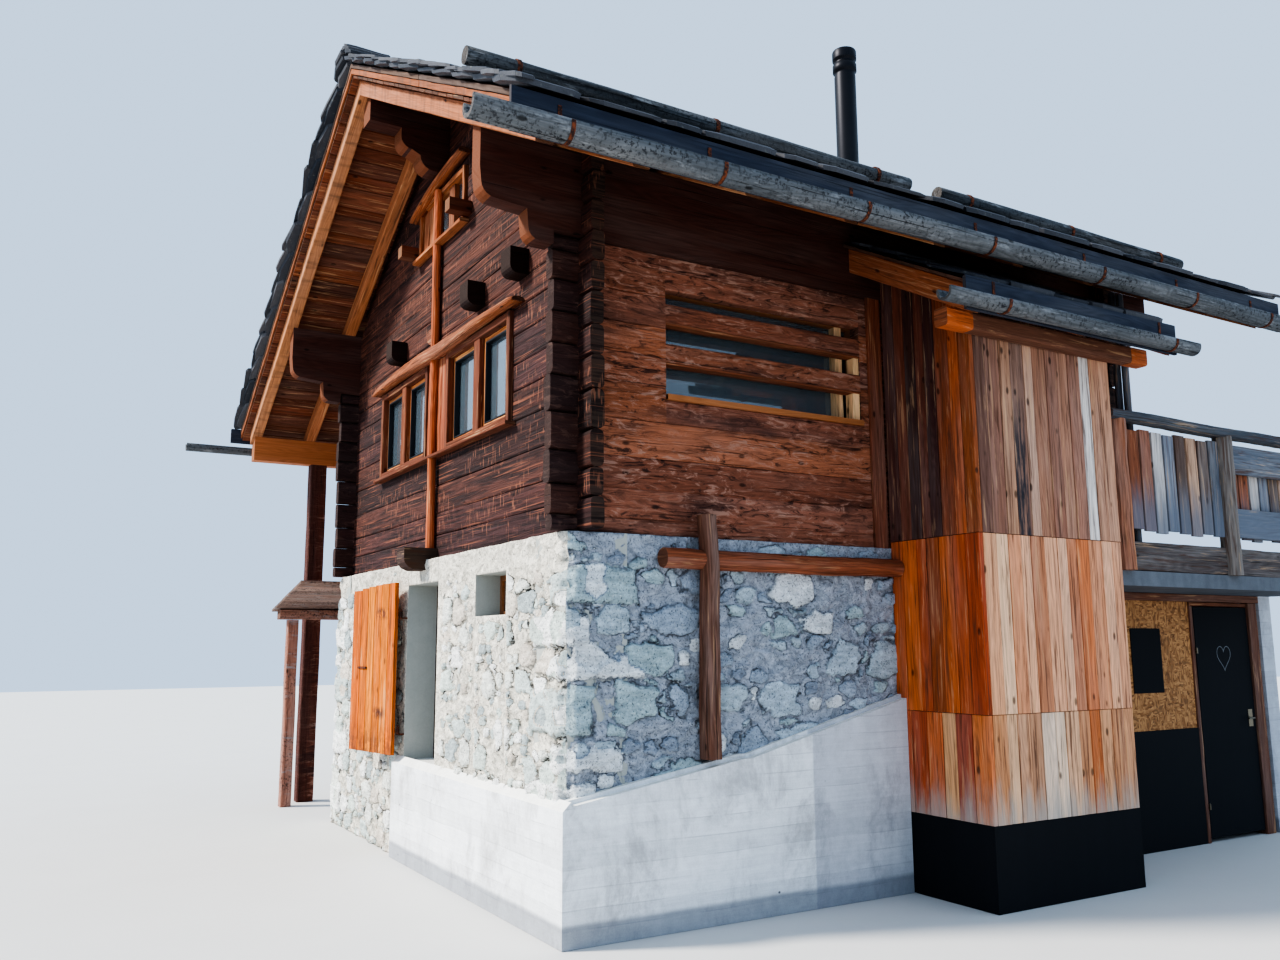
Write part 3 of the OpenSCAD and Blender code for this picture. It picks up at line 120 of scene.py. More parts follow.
# %% Pile: arrays in, one mesh object out
class Pile:
    def __init__(self):
        self.points, self.faces, self.count = [], [], 0

    def add(self, points, faces):
        """Faces are (corner numbers, pattern coordinates, values) with one row for each face."""
        for corners_of, coords, values in faces:
            self.faces.append((corners_of + self.count, coords, values))
        self.points.append(points.reshape(-1, 3))
        self.count += points.size // 3
        return self

    def build(self, name, finish, body="house", slot=None, replaces=(), smooth=False, extra=None):
        mesh = bpy.data.meshes.new(name)
        points = np.concatenate(self.points)
        mesh.vertices.add(len(points))
        mesh.vertices.foreach_set("co", points.ravel().astype(np.float32))
        sizes = np.concatenate([np.full(len(f[0]), f[0].shape[1]) for f in self.faces])
        loops = np.concatenate([f[0].ravel() for f in self.faces]).astype(np.int32)
        mesh.loops.add(len(loops))
        mesh.loops.foreach_set("vertex_index", loops)
        mesh.polygons.add(len(sizes))
        mesh.polygons.foreach_set("loop_start", (np.cumsum(sizes) - sizes).astype(np.int32))
        mesh.update(calc_edges=True)
        coords = np.concatenate([f[1].reshape(-1, 2) for f in self.faces])
        mesh.uv_layers.new(name="grain").data.foreach_set("uv", coords.ravel().astype(np.float32))
        values = np.concatenate([f[2] for f in self.faces])
        for column, label in ((0, "tone"), (1, "end")):
            layer = mesh.attributes.new(label, "FLOAT", "FACE")
            layer.data.foreach_set("value", values[:, column].astype(np.float32))
        layer = mesh.attributes.new("dye", "FLOAT_VECTOR", "FACE")
        layer.data.foreach_set("vector", values[:, 2:5].ravel().astype(np.float32))
        for label, column in (extra or {}).items():
            layer = mesh.attributes.new(label, "FLOAT", "POINT")
            layer.data.foreach_set("value", column.astype(np.float32))
        flat = (values[:, 1] > 0.5) | (not smooth)
        mesh.polygons.foreach_set("use_smooth", ~flat)
        finishes = finish if isinstance(finish, (list, tuple)) else [finish]
        for one in finishes:
            mesh.materials.append(one)
        if len(finishes) > 1:
            mesh.polygons.foreach_set("material_index", values[:, 5].astype(np.int32))
        piece = bpy.data.objects.new(name, mesh)
        bpy.context.scene.collection.objects.link(piece)
        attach(piece, body)
        if replaces:
            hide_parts(*replaces)
        print(f"{name}: {len(sizes)} faces")
        return piece


def rows(count, tone, end, dye, which=0):
    """The values of count faces: tone, end mark, colour and which finish."""
    table = np.empty((count, 6))
    table[:, 0], table[:, 1], table[:, 5] = tone, end, which
    table[:, 2:5] = dye
    return table


def make(name, finish, slot, replaces, *parts, **more):
    """One piece from the arrays of its parts."""
    pile = Pile()
    for part in parts:
        pile.add(*part)
    return pile.build(name, finish, slot=slot, replaces=replaces, **more)


# %% Tubes: what logs, slabs, pipes and straps have in common
def tube(count, rings, sides):
    """Corner numbers of the four-sided faces between the rings of count tubes, and of their ends."""
    first = (np.arange(count) * rings * sides)[:, None, None]
    spot = np.arange(sides)[None, None]
    ring = first + np.arange(rings - 1)[None, :, None] * sides
    a, b = ring + spot, ring + (spot + 1) % sides
    ends = first + np.stack([spot[0, 0, ::-1], (rings - 1) * sides + spot[0, 0]])
    return np.stack([a, b, b + sides, a + sides], -1), ends


def squares(u0, u1, v0, v1):
    """Pattern coordinates of the corners of four-sided faces."""
    return np.stack([np.stack(pair, -1) for pair in ((u0, v0), (u0, v1), (u1, v1), (u1, v0))], -2)


# %% [markdown]
# ## Timber
# Nearly everything here is a long piece of wood: a log, a rafter, a board or a pole. One function
# makes them all at once. Its section is a rectangle with rounded corners, which becomes a circle
# when the corner radius is half the width. Rings of that section run along the timber, and slow
# waves push each ring aside by a few millimetres, because hewn wood is never quite straight.

# %% timbers(): any number of squared or round timbers
def timbers(starts, ends, across, up, dye, corner=0.008, arcs=2, rings=7, bow=0.003, rough=0.001,
            taper=0.0, seed=1, which=0):
    """Point = start + t (end - start) + across s + up r, where (s, r) runs round a rounded
    rectangle and t from 0 to 1. A sum of two sine waves of t moves each ring by at most bow, each
    point moves by at most rough, and the far end is thinner by the share taper."""
    rng = np.random.default_rng(seed)
    starts, ends = np.atleast_2d(np.asarray(starts, float)), np.atleast_2d(np.asarray(ends, float))
    k = len(starts)
    across, up = np.broadcast_to(across, (k, 3)).astype(float), np.broadcast_to(up, (k, 3)).astype(float)
    width, height = np.linalg.norm(across, axis=1), np.linalg.norm(up, axis=1)
    side, rise = across / width[:, None], up / height[:, None]
    radius = np.minimum(np.broadcast_to(corner, (k,)), np.minimum(width, height) / 2 - 1e-5)
    angle = np.radians(np.concatenate([q * 90 + np.linspace(0, 90, arcs) for q in range(4)]))
    sign_s = np.repeat([1, -1, -1, 1], arcs)
    sign_r = np.repeat([1, 1, -1, -1], arcs)
    s = sign_s * (width / 2 - radius)[:, None] + radius[:, None] * np.cos(angle)
    r = sign_r * (height / 2 - radius)[:, None] + radius[:, None] * np.sin(angle)
    n = len(angle)
    t = np.linspace(0, 1, rings)
    phase = rng.random((k, 4)) * 6.28
    sway = bow * np.sin(t * 5 + phase[:, :1]) * 0.6 + bow * np.sin(t * 13 + phase[:, 1:2]) * 0.4
    lift = bow * np.sin(t * 6 + phase[:, 2:3]) * 0.6 + bow * np.sin(t * 15 + phase[:, 3:]) * 0.4
    size = 1 - taper * t
    path = starts[:, None] + t[None, :, None] * (ends - starts)[:, None]
    jitter = rough * (rng.random((k, rings, n, 2)) * 2 - 1)
    s_all = s[:, None] * size[None, :, None] + sway[:, :, None] + jitter[..., 0]
    r_all = r[:, None] * size[None, :, None] + lift[:, :, None] + jitter[..., 1]
    points = path[:, :, None] + s_all[..., None] * side[:, None, None] + r_all[..., None] * rise[:, None, None]
    quads, caps = tube(k, rings, n)
    girth = np.cumsum(np.hypot(np.roll(s, -1, 1) - s, np.roll(r, -1, 1) - r), 1)
    v1 = girth[:, None, :] + np.zeros((1, rings - 1, 1))
    v0 = np.concatenate([np.zeros((k, 1)), girth[:, :-1]], 1)[:, None, :] + np.zeros((1, rings - 1, 1))
    length = np.linalg.norm(ends - starts, axis=1)[:, None, None]
    u0, u1 = length * t[None, :-1, None] + 0 * v0, length * t[None, 1:, None] + 0 * v0
    coords, section = squares(u0, u1, v0, v1), np.stack([s, r], -1)
    cap_coords = np.stack([section[:, ::-1], section], 1)
    # faces of timbers whose section runs the other way are turned round, so that they look outwards
    inward = np.einsum("ij,ij->i", np.cross(side, rise), ends - starts) <= 0
    for table in (quads, caps):
        table[inward] = table[inward][..., ::-1]
    for table in (coords, cap_coords):
        table[inward] = table[inward][..., ::-1, :]
    tone, dye = rng.random(k), np.broadcast_to(dye, (k, 3))
    values = lambda per, end: rows(k * per, np.repeat(tone, per), end, np.repeat(dye, per, 0), which)
    return points, [(quads.reshape(-1, 4), coords.reshape(-1, 4, 2), values((rings - 1) * n, 0)),
                    (caps.reshape(-1, n), cap_coords.reshape(-1, n, 2), values(2, 1))]


def beams(boxes, dyes, along, **shape):
    """A row of timbers, each filling its own box, all with the grain along axis 0, 1 or 2."""
    boxes = np.asarray(boxes, float).reshape(-1, 2, 3)
    low, high = boxes[:, 0], boxes[:, 1]
    middle, span = (low + high) / 2, high - low
    starts, ends = middle.copy(), middle.copy()
    starts[:, along], ends[:, along] = low[:, along], high[:, along]
    others = [i for i in range(3) if i != along]
    across, up = np.zeros_like(span), np.zeros_like(span)
    across[:, others[0]], up[:, others[1]] = span[:, others[0]], span[:, others[1]]
    return timbers(starts, ends, across, up, dyes, **shape)


def beam(low, high, dye, along, **shape):
    return beams([[low, high]], dye, along, **shape)


X, Y, Z = np.eye(3)
STILL = {"bow": 0, "rough": 0}


# %% [markdown]
# ## Finishes
# Blender paints a surface with nodes. Writing them by hand is long, so a `Wire` stands for one
# output of a node, and sums, products and comparisons of wires add the math nodes. Effects that
# several finishes share are node groups: wood grain and mottled stone. Each finish places the
# group with its own values and keeps its own shader.

# %% Wires
class Wire:
    """One output of a shader node. A wire times three numbers is a vector with each part
    multiplied, and wire[i] is one of its parts."""
    def __init__(self, made, key=0):
        self.socket, self.tree = made.outputs[key], made.id_data

    __add__ = lambda a, b: maths("ADD", a, b)
    __radd__ = lambda a, b: maths("ADD", b, a)
    __sub__ = lambda a, b: maths("SUBTRACT", a, b)
    __rmul__ = lambda a, b: maths("MULTIPLY", b, a)
    __gt__ = lambda a, b: maths("GREATER_THAN", a, b)
    __lt__ = lambda a, b: maths("LESS_THAN", a, b)
    __abs__ = lambda a: maths("ABSOLUTE", a)

    def __mul__(self, other):
        if isinstance(other, tuple):
            return Wire(node(self.tree, "VectorMath", {0: self, 1: other}, operation="MULTIPLY"))
        return maths("MULTIPLY", self, other)

    def __getitem__(self, part):
        return Wire(node(self.tree, "SeparateXYZ", {0: self}), part)


def feed(made, inputs):
    """Links the inputs that are given a wire, and sets the others."""
    for key, value in inputs.items():
        if isinstance(value, Wire):
            value.tree.links.new(value.socket, made.inputs[key])
        else:
            made.inputs[key].default_value = value
    return made


def node(tree, kind, inputs=None, **settings):
    made = tree.nodes.new("ShaderNode" + kind)
    for key, value in settings.items():
        setattr(made, key, value)
    return feed(made, inputs or {})


def tree_of(*values):
    return next(value.tree for value in values if isinstance(value, Wire))


# %% Short names for the nodes that are used most
def maths(operation, *values, clamp=False):
    return Wire(node(tree_of(*values), "Math", dict(enumerate(values)), operation=operation, use_clamp=clamp))


def mixed(share, a, b, mode="MIX"):
    """Colour a turned into colour b by a share."""
    return Wire(node(tree_of(share, a, b), "Mix", {0: share, 6: a, 7: b}, data_type="RGBA", blend_type=mode), 2)


def steps(value, low, high, a=0.0, b=1.0):
    """A smooth step: a below low, b above high."""
    return Wire(node(value.tree, "MapRange", {"Value": value, "From Min": low, "From Max": high, "To Min": a,
                                              "To Max": b}, interpolation_type="SMOOTHSTEP"))


def noise(vector, scale=1.0, detail=3.0, rough=0.55, twist=0.0):
    """Twist pushes the place about by the noise itself, which curls its patches."""
    return Wire(node(vector.tree, "TexNoise", {"Vector": vector, "Scale": scale, "Detail": detail,
                                               "Roughness": rough, "Distortion": twist}), "Fac")


def twisted(vector, detail=5, rough=0.7, twist=1.2):
    return noise(vector, 1.0, detail, rough, twist)


def cells(vector, scale=1.0):
    """Scattered cells: the distance to the nearest centre, and a random number for each cell."""
    made = node(vector.tree, "TexVoronoi", {"Vector": vector, "Scale": scale}, feature="F1")
    return Wire(made, "Distance"), Wire(node(vector.tree, "SeparateColor", {0: Wire(made, "Color")}))


def dimmed(colour, share):
    return Wire(node(tree_of(colour, share), "VectorMath", {0: colour, "Scale": share}, operation="SCALE"))


def joined(tree, *parts):
    return Wire(node(tree, "CombineXYZ", dict(enumerate(parts))))


def place(tree):
    return Wire(node(tree, "TexCoord"), "Object")


def outward(tree):
    return Wire(node(tree, "NewGeometry"), "True Normal")


def mark(tree, label, output="Fac"):
    return Wire(node(tree, "Attribute", attribute_name=label), output)


def ink(*rgb):
    return (*paint(*rgb), 1)


# %% Groups and materials
def group(name, takes, gives):
    """An empty node group with named inputs (name, kind, value) and outputs (name, kind). It
    returns the tree, a wire for each input, and the node that takes the results."""
    tree = bpy.data.node_groups.new(name, "ShaderNodeTree")
    for label, kind, value in takes:
        socket = tree.interface.new_socket(label, in_out="INPUT", socket_type="NodeSocket" + kind)
        if value is not None:
            socket.default_value = value
    for label, kind in gives:
        tree.interface.new_socket(label, in_out="OUTPUT", socket_type="NodeSocket" + kind)
    source = tree.nodes.new("NodeGroupInput")
    return tree, {label: Wire(source, label) for label, _, _ in takes}, tree.nodes.new("NodeGroupOutput")


def fresh(name):
    """A new material, its tree and its shader."""
    finish = bpy.data.materials.new(name)
    finish.use_nodes = True
    return finish, finish.node_tree, finish.node_tree.nodes["Principled BSDF"]


def bump(tree, strength, distance, height):
    return Wire(node(tree, "Bump", {"Strength": strength, "Distance": distance, "Height": height}))


# %% [markdown]
# ### Wood grain
# Grain is noise stretched forty times along the timber. Contour lines of a slower noise give the
# cathedral figure, cells give knots, and thin peaks give drying cracks. On a sawn end the same
# coordinates are the section, so rings are waves of the distance from the heart.

# %% The grain group
grain_group, take, give = group("wood grain", [
    ("Place", "Vector", None), ("Dye", "Color", (0.5, 0.3, 0.2, 1)), ("End", "Float", 0.0),
    ("Contrast", "Float", 0.5), ("Grey", "Float", 0.2), ("Knots", "Float", 0.3), ("Cracks", "Float", 0.5)],
    [("Color", "Color"), ("Height", "Float"), ("Wear", "Float")])
spot = take["Place"]
streak = noise(spot * (1.3, 42, 31))
fine = noise(spot * (9, 260, 53), 1.0, 2)
figure = noise(spot * (0.7, 7, 23), 1.0, 1.5)
lines = maths("PINGPONG", figure * 14, 0.5) * 2
knot_distance, odds = cells(spot * (4.0, 8.0, 9))
knot = steps(knot_distance, 0.07, 0.16, 1, 0) * (odds < take["Knots"])
crack = steps(noise(spot * (0.9, 75, 11), 1.0, 1), 0.66, 0.74) * take["Cracks"]
heart = Wire(node(grain_group, "VectorMath", {0: spot * (1, 1, 0)}, operation="LENGTH"), "Value")
ring = maths("SINE", (heart + streak * 0.01) * 900) * 0.5 + 0.5
level = streak * 0.75 + fine * 0.35 + lines * 0.22
level = Wire(node(grain_group, "Mix", {0: take["End"], 2: level, 3: ring * 0.35 + 0.35}))
shade = ((level - 0.62) * (take["Contrast"] * 2.2) + 1.0) * (knot * -0.72 + 1) * (crack * -0.7 + 1)
shade = maths("MAXIMUM", shade, 0.08)
grey = steps(noise(spot * (0.8, 5, 17)), 0.38, 0.72)
grey = maths("MULTIPLY", grey, take["Grey"], clamp=True)
colour = mixed(grey, dimmed(take["Dye"], shade), dimmed((0.33, 0.31, 0.29), shade))
feed(give, {"Color": mixed(take["End"] * 0.35, colour, (0.12, 0.085, 0.06, 1)),
            "Height": level - (crack * 1.2 + knot * -0.5), "Wear": level * -0.25 + 0.92})
print("wood grain:", len(grain_group.nodes), "nodes")


# %% A wood finish, on a piece's own grain coordinates or on a CAD node's place
def wood(name, contrast=0.5, grey=0.2, knots=0.3, cracks=0.5, relief=0.003, axis=None, dye=None, extra=None):
    """With no axis the grain follows the piece's coordinates, tone and dye. With an axis it runs
    along that axis of the object's place, and the colour is the one given. extra(tree, colour)
    changes the colour and gives a height to add."""
    finish, tree, shader = fresh(name)
    if axis is None:
        flat = Wire(node(tree, "UVMap", uv_map="grain"))
        spot = joined(tree, flat[0], flat[1], mark(tree, "tone"))
        colour, end = mark(tree, "dye", "Vector"), mark(tree, "end")
    else:
        here = place(tree)
        others = [here[i] for i in range(3) if i != axis]
        spot = joined(tree, here[axis], maths("ADD", *others), 0.3)
        colour, end = ink(*dye), abs(outward(tree)[axis]) > 0.9
    grain = node(tree, "Group", node_tree=grain_group)
    feed(grain, {"Place": spot, "Dye": colour, "End": end, "Contrast": contrast, "Grey": grey, "Knots": knots,
                 "Cracks": cracks})
    final, rise = Wire(grain, "Color"), Wire(grain, "Height")
    if extra:
        final, more = extra(tree, final)
        rise = rise + more
    feed(shader, {"Base Color": final, "Roughness": Wire(grain, "Wear"), "Specular IOR Level": 0.25,
                  "Normal": bump(tree, 0.8, relief, rise)})
    return finish


# %% [markdown]
# ### Stone, mortar and concrete
# One group mottles all mineral finishes: broad clouds, fine speckle and dark pores, all noise on
# the object's own coordinates, so the pattern is as large as it is on the real wall.

# %% The mottle group
mottle_group, take, give = group("mottle", [
    ("Place", "Vector", None), ("Base", "Color", (0.5, 0.5, 0.5, 1)), ("Clouds", "Float", 0.3),
    ("Speckle", "Float", 0.3), ("Pores", "Float", 0.3), ("Streaks", "Float", 0.3)],
    [("Color", "Color"), ("Height", "Float")])
spot = take["Place"]
clouds = noise(spot, 1.4, 4, 0.6)
speck = noise(spot, 90, 3, 0.7)
mid = noise(spot, 14, 4, 0.6)
streaks = noise(spot * (9, 9, 0.7))
pore_distance, odds = cells(spot, 38)
pores = steps(pore_distance, 0.06, 0.16, 1, 0) * (odds < 0.3) * take["Pores"]
shade = (clouds - 0.5) * (take["Clouds"] * 2) + 1
for pattern, amount in ((speck, "Speckle"), (mid, "Speckle"), (streaks, "Streaks")):
    shade = shade + (pattern - 0.5) * take[amount]
shade = maths("MAXIMUM", shade * (pores * -0.6 + 1), 0.05)
feed(give, {"Color": dimmed(take["Base"], shade), "Height": mid * 0.7 + speck * 0.35 - pores})
print("mottle:", len(mottle_group.nodes), "nodes")


# %% A mineral finish
def mineral(name, base, clouds=0.3, speckle=0.3, pores=0.2, streaks=0.2, rough=0.9, relief=0.004, metal=0.0):
    """The base is a colour, or base(tree) gives one that changes over the surface."""
    finish, tree, shader = fresh(name)
    look = node(tree, "Group", node_tree=mottle_group)
    feed(look, {"Place": place(tree), "Base": base(tree) if callable(base) else ink(*base), "Clouds": clouds,
                "Speckle": speckle, "Pores": pores, "Streaks": streaks})
    feed(shader, {"Base Color": Wire(look, "Color"), "Roughness": rough, "Metallic": metal,
                  "Specular IOR Level": 0.3, "Normal": bump(tree, 0.7, relief, Wire(look, "Height"))})
    return finish


def dress(finish, *names):
    """Gives CAD nodes a finish, without touching their shape."""
    for name in names:
        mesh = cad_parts[name].data
        mesh.materials.clear()
        mesh.materials.append(finish)


# %% [markdown]
# ## The finishes of this house
# Old logs are dark brown to black where rain reaches them and red-brown in the lee. The rafters,
# frames and the door are newer, still orange. Gutter logs and railings have gone silver. Each is
# the same grain with other values, and the gable logs also get short pale adze marks.

# %% Effects on old wood
def hewn(tree, colour):
    """Rain-dark faces: black hollows and red-brown ridges run with the log, and short pale upright nicks stand
    in clusters. Thin pale lines along the log are painted highlights, like sunlight catching the edges of the
    logs."""
    spot = place(tree)
    ridges = twisted(spot * (1.2, 1.2, 26), 4, 0.66, 0.4)
    colour = mixed(steps(ridges, 0.38, 0.58, 0.84, 0.0), colour, (0.014, 0.007, 0.007, 1))
    nicks = steps(noise(spot * (50, 50, 8), 1.0, 1.5), 0.57, 0.67)
    cluster = steps(noise(spot * (3, 3, 6), 1.0, 2), 0.44, 0.6, 0, 0.62)
    colour = mixed(nicks * cluster, colour, (0.32, 0.13, 0.075, 1))
    # painted highlight: thin pale lines along the log, standing in for sunlight on the log edges
    lines = steps(noise(spot * (1.4, 1.4, 64), 1.0, 2), 0.59, 0.68, 0, 0.6)
    return mixed(lines, colour, (0.28, 0.1, 0.055, 1)), ridges * 2.0


def flaky(tree, colour):
    """The lee side splits in flakes: the hollows between them are darkened as painted shade, and the pale
    pinkish edges that lift are partly peeled wood and partly painted highlight. Between the flaky areas the
    wood is stained dark or has gone violet grey, and near the front corner it is darkened as painted shade."""
    spot = place(tree)
    chips, away = twisted(spot * (5.5, 5.5, 21)), spot[1]
    areas = steps(noise(spot * (1.1, 1.1, 2.6)), 0.36, 0.54, 0.25, 1) * steps(away, 0.05, 0.22, 0.15, 1)
    stain = steps(noise(spot * (0.8, 0.8, 3.4), 1.0, 4, 0.62), 0.52, 0.68, 0, 0.72)
    # painted shade: the side logs darken towards the front corner of the house
    stain = maths("MAXIMUM", stain, steps(away, 0.02, 0.24, 0.6, 0))
    colour = mixed(stain, colour, (0.034, 0.017, 0.017, 1))
    # painted shade: near black in the hollows between the flakes
    colour = mixed(areas * steps(chips, 0.36, 0.47, 0.86, 0), colour, (0.022, 0.01, 0.009, 1))
    # pale lifted edges: partly peeled wood, partly painted highlight
    peeled_and_highlit = areas * steps(chips, 0.53, 0.62, 0, 0.7)
    return mixed(peeled_and_highlit, colour, (0.46, 0.26, 0.19, 1)), chips * 2.4


def rain_stain(tree, colour):
    """Dark drips that start along one edge: noise across the timber, fading with height."""
    drip = steps(noise(place(tree) * (16, 3, 2.2)), 0.45, 0.75, 0, 0.6)
    return mixed(drip, colour, (0.1, 0.06, 0.04, 1)), drip


def dirty(tree, colour):
    """New timber that has seen some years: dark streaks with the grain and a few black stains."""
    flat = Wire(node(tree, "UVMap", uv_map="grain"))
    spot = joined(tree, flat[0], flat[1], mark(tree, "tone") * 9)
    streaks = twisted(spot * (1.6, 36, 5), 4, 0.7, 0.6)
    colour = mixed(steps(streaks, 0.5, 0.68, 0, 0.75), colour, (0.085, 0.035, 0.018, 1))
    pale = steps(streaks, 0.44, 0.34, 0, 0.35)
    return mixed(pale, colour, (0.72, 0.45, 0.24, 1)), streaks * -1.2


def sawn_and_sunlit_front(tree, colour):
    """Faces that look out of the gable are orange: partly fresh sawn wood, partly painted sunlight."""
    return mixed(steps(outward(tree)[1], -0.2, -0.5, 0, 0.7), colour, (0.23, 0.068, 0.022, 1)), 0.0


def mouldy(tree, colour):
    """Bare logs gone silver: black mould in specks that gather along the log, pale worn spots."""
    spot = place(tree)
    specks = steps(noise(spot, 42, 4, 0.75), 0.53, 0.61, 0, 0.85)
    areas = steps(noise(spot * (5, 1.2, 5)), 0.38, 0.6)
    colour = mixed(specks * areas, colour, (0.016, 0.016, 0.02, 1))
    worn = steps(noise(spot * (16, 3, 16), 1.0, 4, 0.7), 0.55, 0.68, 0, 0.55)
    return mixed(worn, colour, (0.3, 0.31, 0.32, 1)), specks


# %% Wood finishes
dark_log = wood("dark_log", 0.6, 0.0, 0.25, 0.8, 0.009, extra=hewn)
red_log = wood("red_log", 0.6, 0.08, 0.3, 0.9, 0.010, extra=flaky)
fresh_timber = wood("fresh_timber", 0.42, 0.05, 0.5, 0.6, 0.004, extra=dirty)
stained_timber = wood("stained_timber", 0.45, 0.1, 0.3, 0.6, 0.004, extra=rain_stain)
soffit_wood = wood("soffit_wood", 0.6, 0.08, 0.5, 0.9, 0.006, extra=dirty)
board_wood = wood("board_wood", 0.5, 0.16, 0.42, 0.5, 0.003, extra=dirty)
grey_wood = wood("grey_wood", 0.6, 0.25, 0.5, 1.0, 0.005, extra=mouldy)
carried_dark = wood("carried_dark", 0.55, 0.08, 0.3, 0.7, 0.004, axis=1, dye=(70, 38, 30), extra=sawn_and_sunlit_front)
carried_orange = wood("carried_orange", 0.35, 0.05, 0.3, 0.4, 0.003, axis=1, dye=(176, 108, 66))
floor_wood = wood("floor_wood", 0.4, 0.1, 0.3, 0.3, 0.002, axis=0, dye=(170, 122, 80))
fascia_paint = wood("fascia_paint", 0.4, 0.12, 0.0, 0.6, 0.003, axis=1, dye=(46, 52, 66))

# %% Colours of concrete, slate and rust
def cast_colour(tree):
    """Pale grey as it left the boards: each board its own tone, a thin line between them, brown and grey
    stains, sparse tie holes and a dark foot. Faces that look up are paler, partly dust and partly painted
    sunlight, and beyond y = 1.88 m a blue-grey painted shadow darkens the side and the store."""
    spot = place(tree)
    high = spot[2] + noise(spot, 1.3, 2) * 0.03
    course = high * 8.5
    board = Wire(node(tree, "TexWhiteNoise", {"W": maths("FLOOR", course)}, noise_dimensions="1D"), "Value")
    brushed = noise(spot * (2.5, 2.5, 60), 1.0, 4, 0.7)
    colour = dimmed(paint(226, 228, 230), board * 0.14 + brushed * 0.34 + 0.78)
    seam = steps(maths("PINGPONG", course, 0.5), 0.0, 0.05, 0.32, 0) * steps(noise(spot, 2.6), 0.42, 0.58)
    colour = mixed(seam, colour, ink(120, 122, 124))
    stain = steps(twisted(spot * (2.6, 2.6, 1.5), 6, 0.74, 0.3), 0.46, 0.7, 0, 0.6)
    colour = mixed(stain, colour, ink(150, 147, 146))
    # painted shadow: blue-grey over the concrete beyond y = 1.88 m
    painted_shadow_beyond = steps(spot[1], 1.88, 1.9, 0, 0.42)
    colour = mixed(painted_shadow_beyond, colour, ink(128, 130, 144))
    hole = steps(cells(spot * (2.4, 2.4, 3.0))[0], 0.022, 0.036, 0.85, 0)
    colour = mixed(hole, colour, ink(58, 60, 64))
    # partly dust, partly painted sunlight: faces that look up are paler
    colour = mixed(steps(outward(tree)[2], 0.3, 0.8, 0, 0.85), colour, ink(244, 242, 234))
    return mixed(steps(high, 0.17, 0.13, 0, 0.7), colour, ink(118, 122, 130))


def slate_colour(tree):
    """Blue grey to brown grey by the slate's own tone, with pale lichen spots."""
    base = mixed(mark(tree, "tone"), ink(44, 49, 58), ink(86, 86, 90))
    return mixed(steps(noise(place(tree), 26), 0.62, 0.72, 0, 0.3), base, ink(130, 134, 126))


def rust_colour(tree):
    return mixed(steps(noise(place(tree), 34, 4, 0.7), 0.4, 0.62), ink(62, 44, 40), ink(132, 74, 48))


# %% Mineral and metal finishes
concrete = mineral("concrete", cast_colour, 0.2, 0.3, 0.4, 0.2, 0.88, 0.004)
plaster = mineral("plaster", (172, 174, 168), 0.15, 0.22, 0.1, 0.1, 0.92, 0.003)
room_concrete = mineral("room_concrete", (150, 150, 146), 0.2, 0.15, 0.3, 0.1, 0.9, 0.002)
slate = mineral("slate", slate_colour, 0.25, 0.5, 0.1, 0.1, 0.62, 0.006)
rust = mineral("rust", rust_colour, 0.2, 0.4, 0.3, 0.1, 0.8, 0.001, 0.35)
flue_metal = mineral("flue_metal", (38, 38, 42), 0.25, 0.2, 0.1, 0.3, 0.45, 0.0006, 0.75)
worn_steel = mineral("worn_steel", (120, 112, 96), 0.15, 0.2, 0.1, 0.1, 0.35, 0.0004, 1.0)
black_paint = mineral("black_paint", (16, 18, 23), 0.3, 0.25, 0.05, 0.35, 0.8, 0.0006)
pale_floor = mineral("pale_floor", (214, 212, 208), 0.03, 0.02, 0.0, 0.0, 0.95, 0.0005)


# %% Glass
def window_pane(name, tint):
    """Clear glass with a trace of dust: the dust is a slow noise that feeds the roughness."""
    finish, tree, shader = fresh(name)
    dust = noise(place(tree), 5, 4)
    feed(shader, {"Roughness": steps(dust, 0.45, 0.9, 0.02, 0.12), "Transmission Weight": 0.75, "IOR": 1.52,
                  "Base Color": mixed(steps(dust, 0.3, 0.8), ink(*tint), (0.3, 0.36, 0.42, 1)),
                  "Coat Weight": 1.0, "Coat IOR": 1.6, "Coat Roughness": 0.01})
    return finish


glass = window_pane("glass", (150, 170, 180))

# %% The floor under it all
ground = bpy.data.meshes.new("studio_floor")
ground.from_pydata([(-45, -35, -0.002), (45, -35, -0.002), (45, 55, -0.002), (-45, 55, -0.002)], [],
                   [(0, 1, 2, 3)])
ground.materials.append(pale_floor)
ground_piece = bpy.data.objects.new("studio_floor", ground)
bpy.context.scene.collection.objects.link(ground_piece)
ground_piece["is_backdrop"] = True

# %% [markdown]
# ## The stone storey
# Field stones lie half buried in a wide bed of mortar. A photograph would be the quick way to
# paint them, but real relief catches the light from every side. So each wall face is a fine grid,
# and a function of the two directions on the wall gives its height. Jittered cells give the
# stones: a point belongs to the nearest centre, and it is mortar where the second is as near.

# %% Smooth noise on arrays
def smooth_noise(u, v, seed):
    """Random numbers on a square lattice, blended between its corners with s = t t (3 - 2 t)."""
    table = np.random.default_rng(seed).random((64, 64))
    i, j = np.floor(u).astype(int), np.floor(v).astype(int)
    a, b = u - i, v - j
    a, b = a * a * (3 - 2 * a), b * b * (3 - 2 * b)
    at = lambda p, q: table[p % 64, q % 64]
    low = at(i, j) * (1 - a) + at(i + 1, j) * a
    high = at(i, j + 1) * (1 - a) + at(i + 1, j + 1) * a
    return low * (1 - b) + high * b


def layered(u, v, seed, layers=4):
    """Smooth noise at doubled scales, each with half the height, about zero."""
    total = sum(smooth_noise(u * 2 ** k, v * 2 ** k, seed + k) / 2 ** k for k in range(layers))
    return total - sum(0.5 / 2 ** k for k in range(layers))


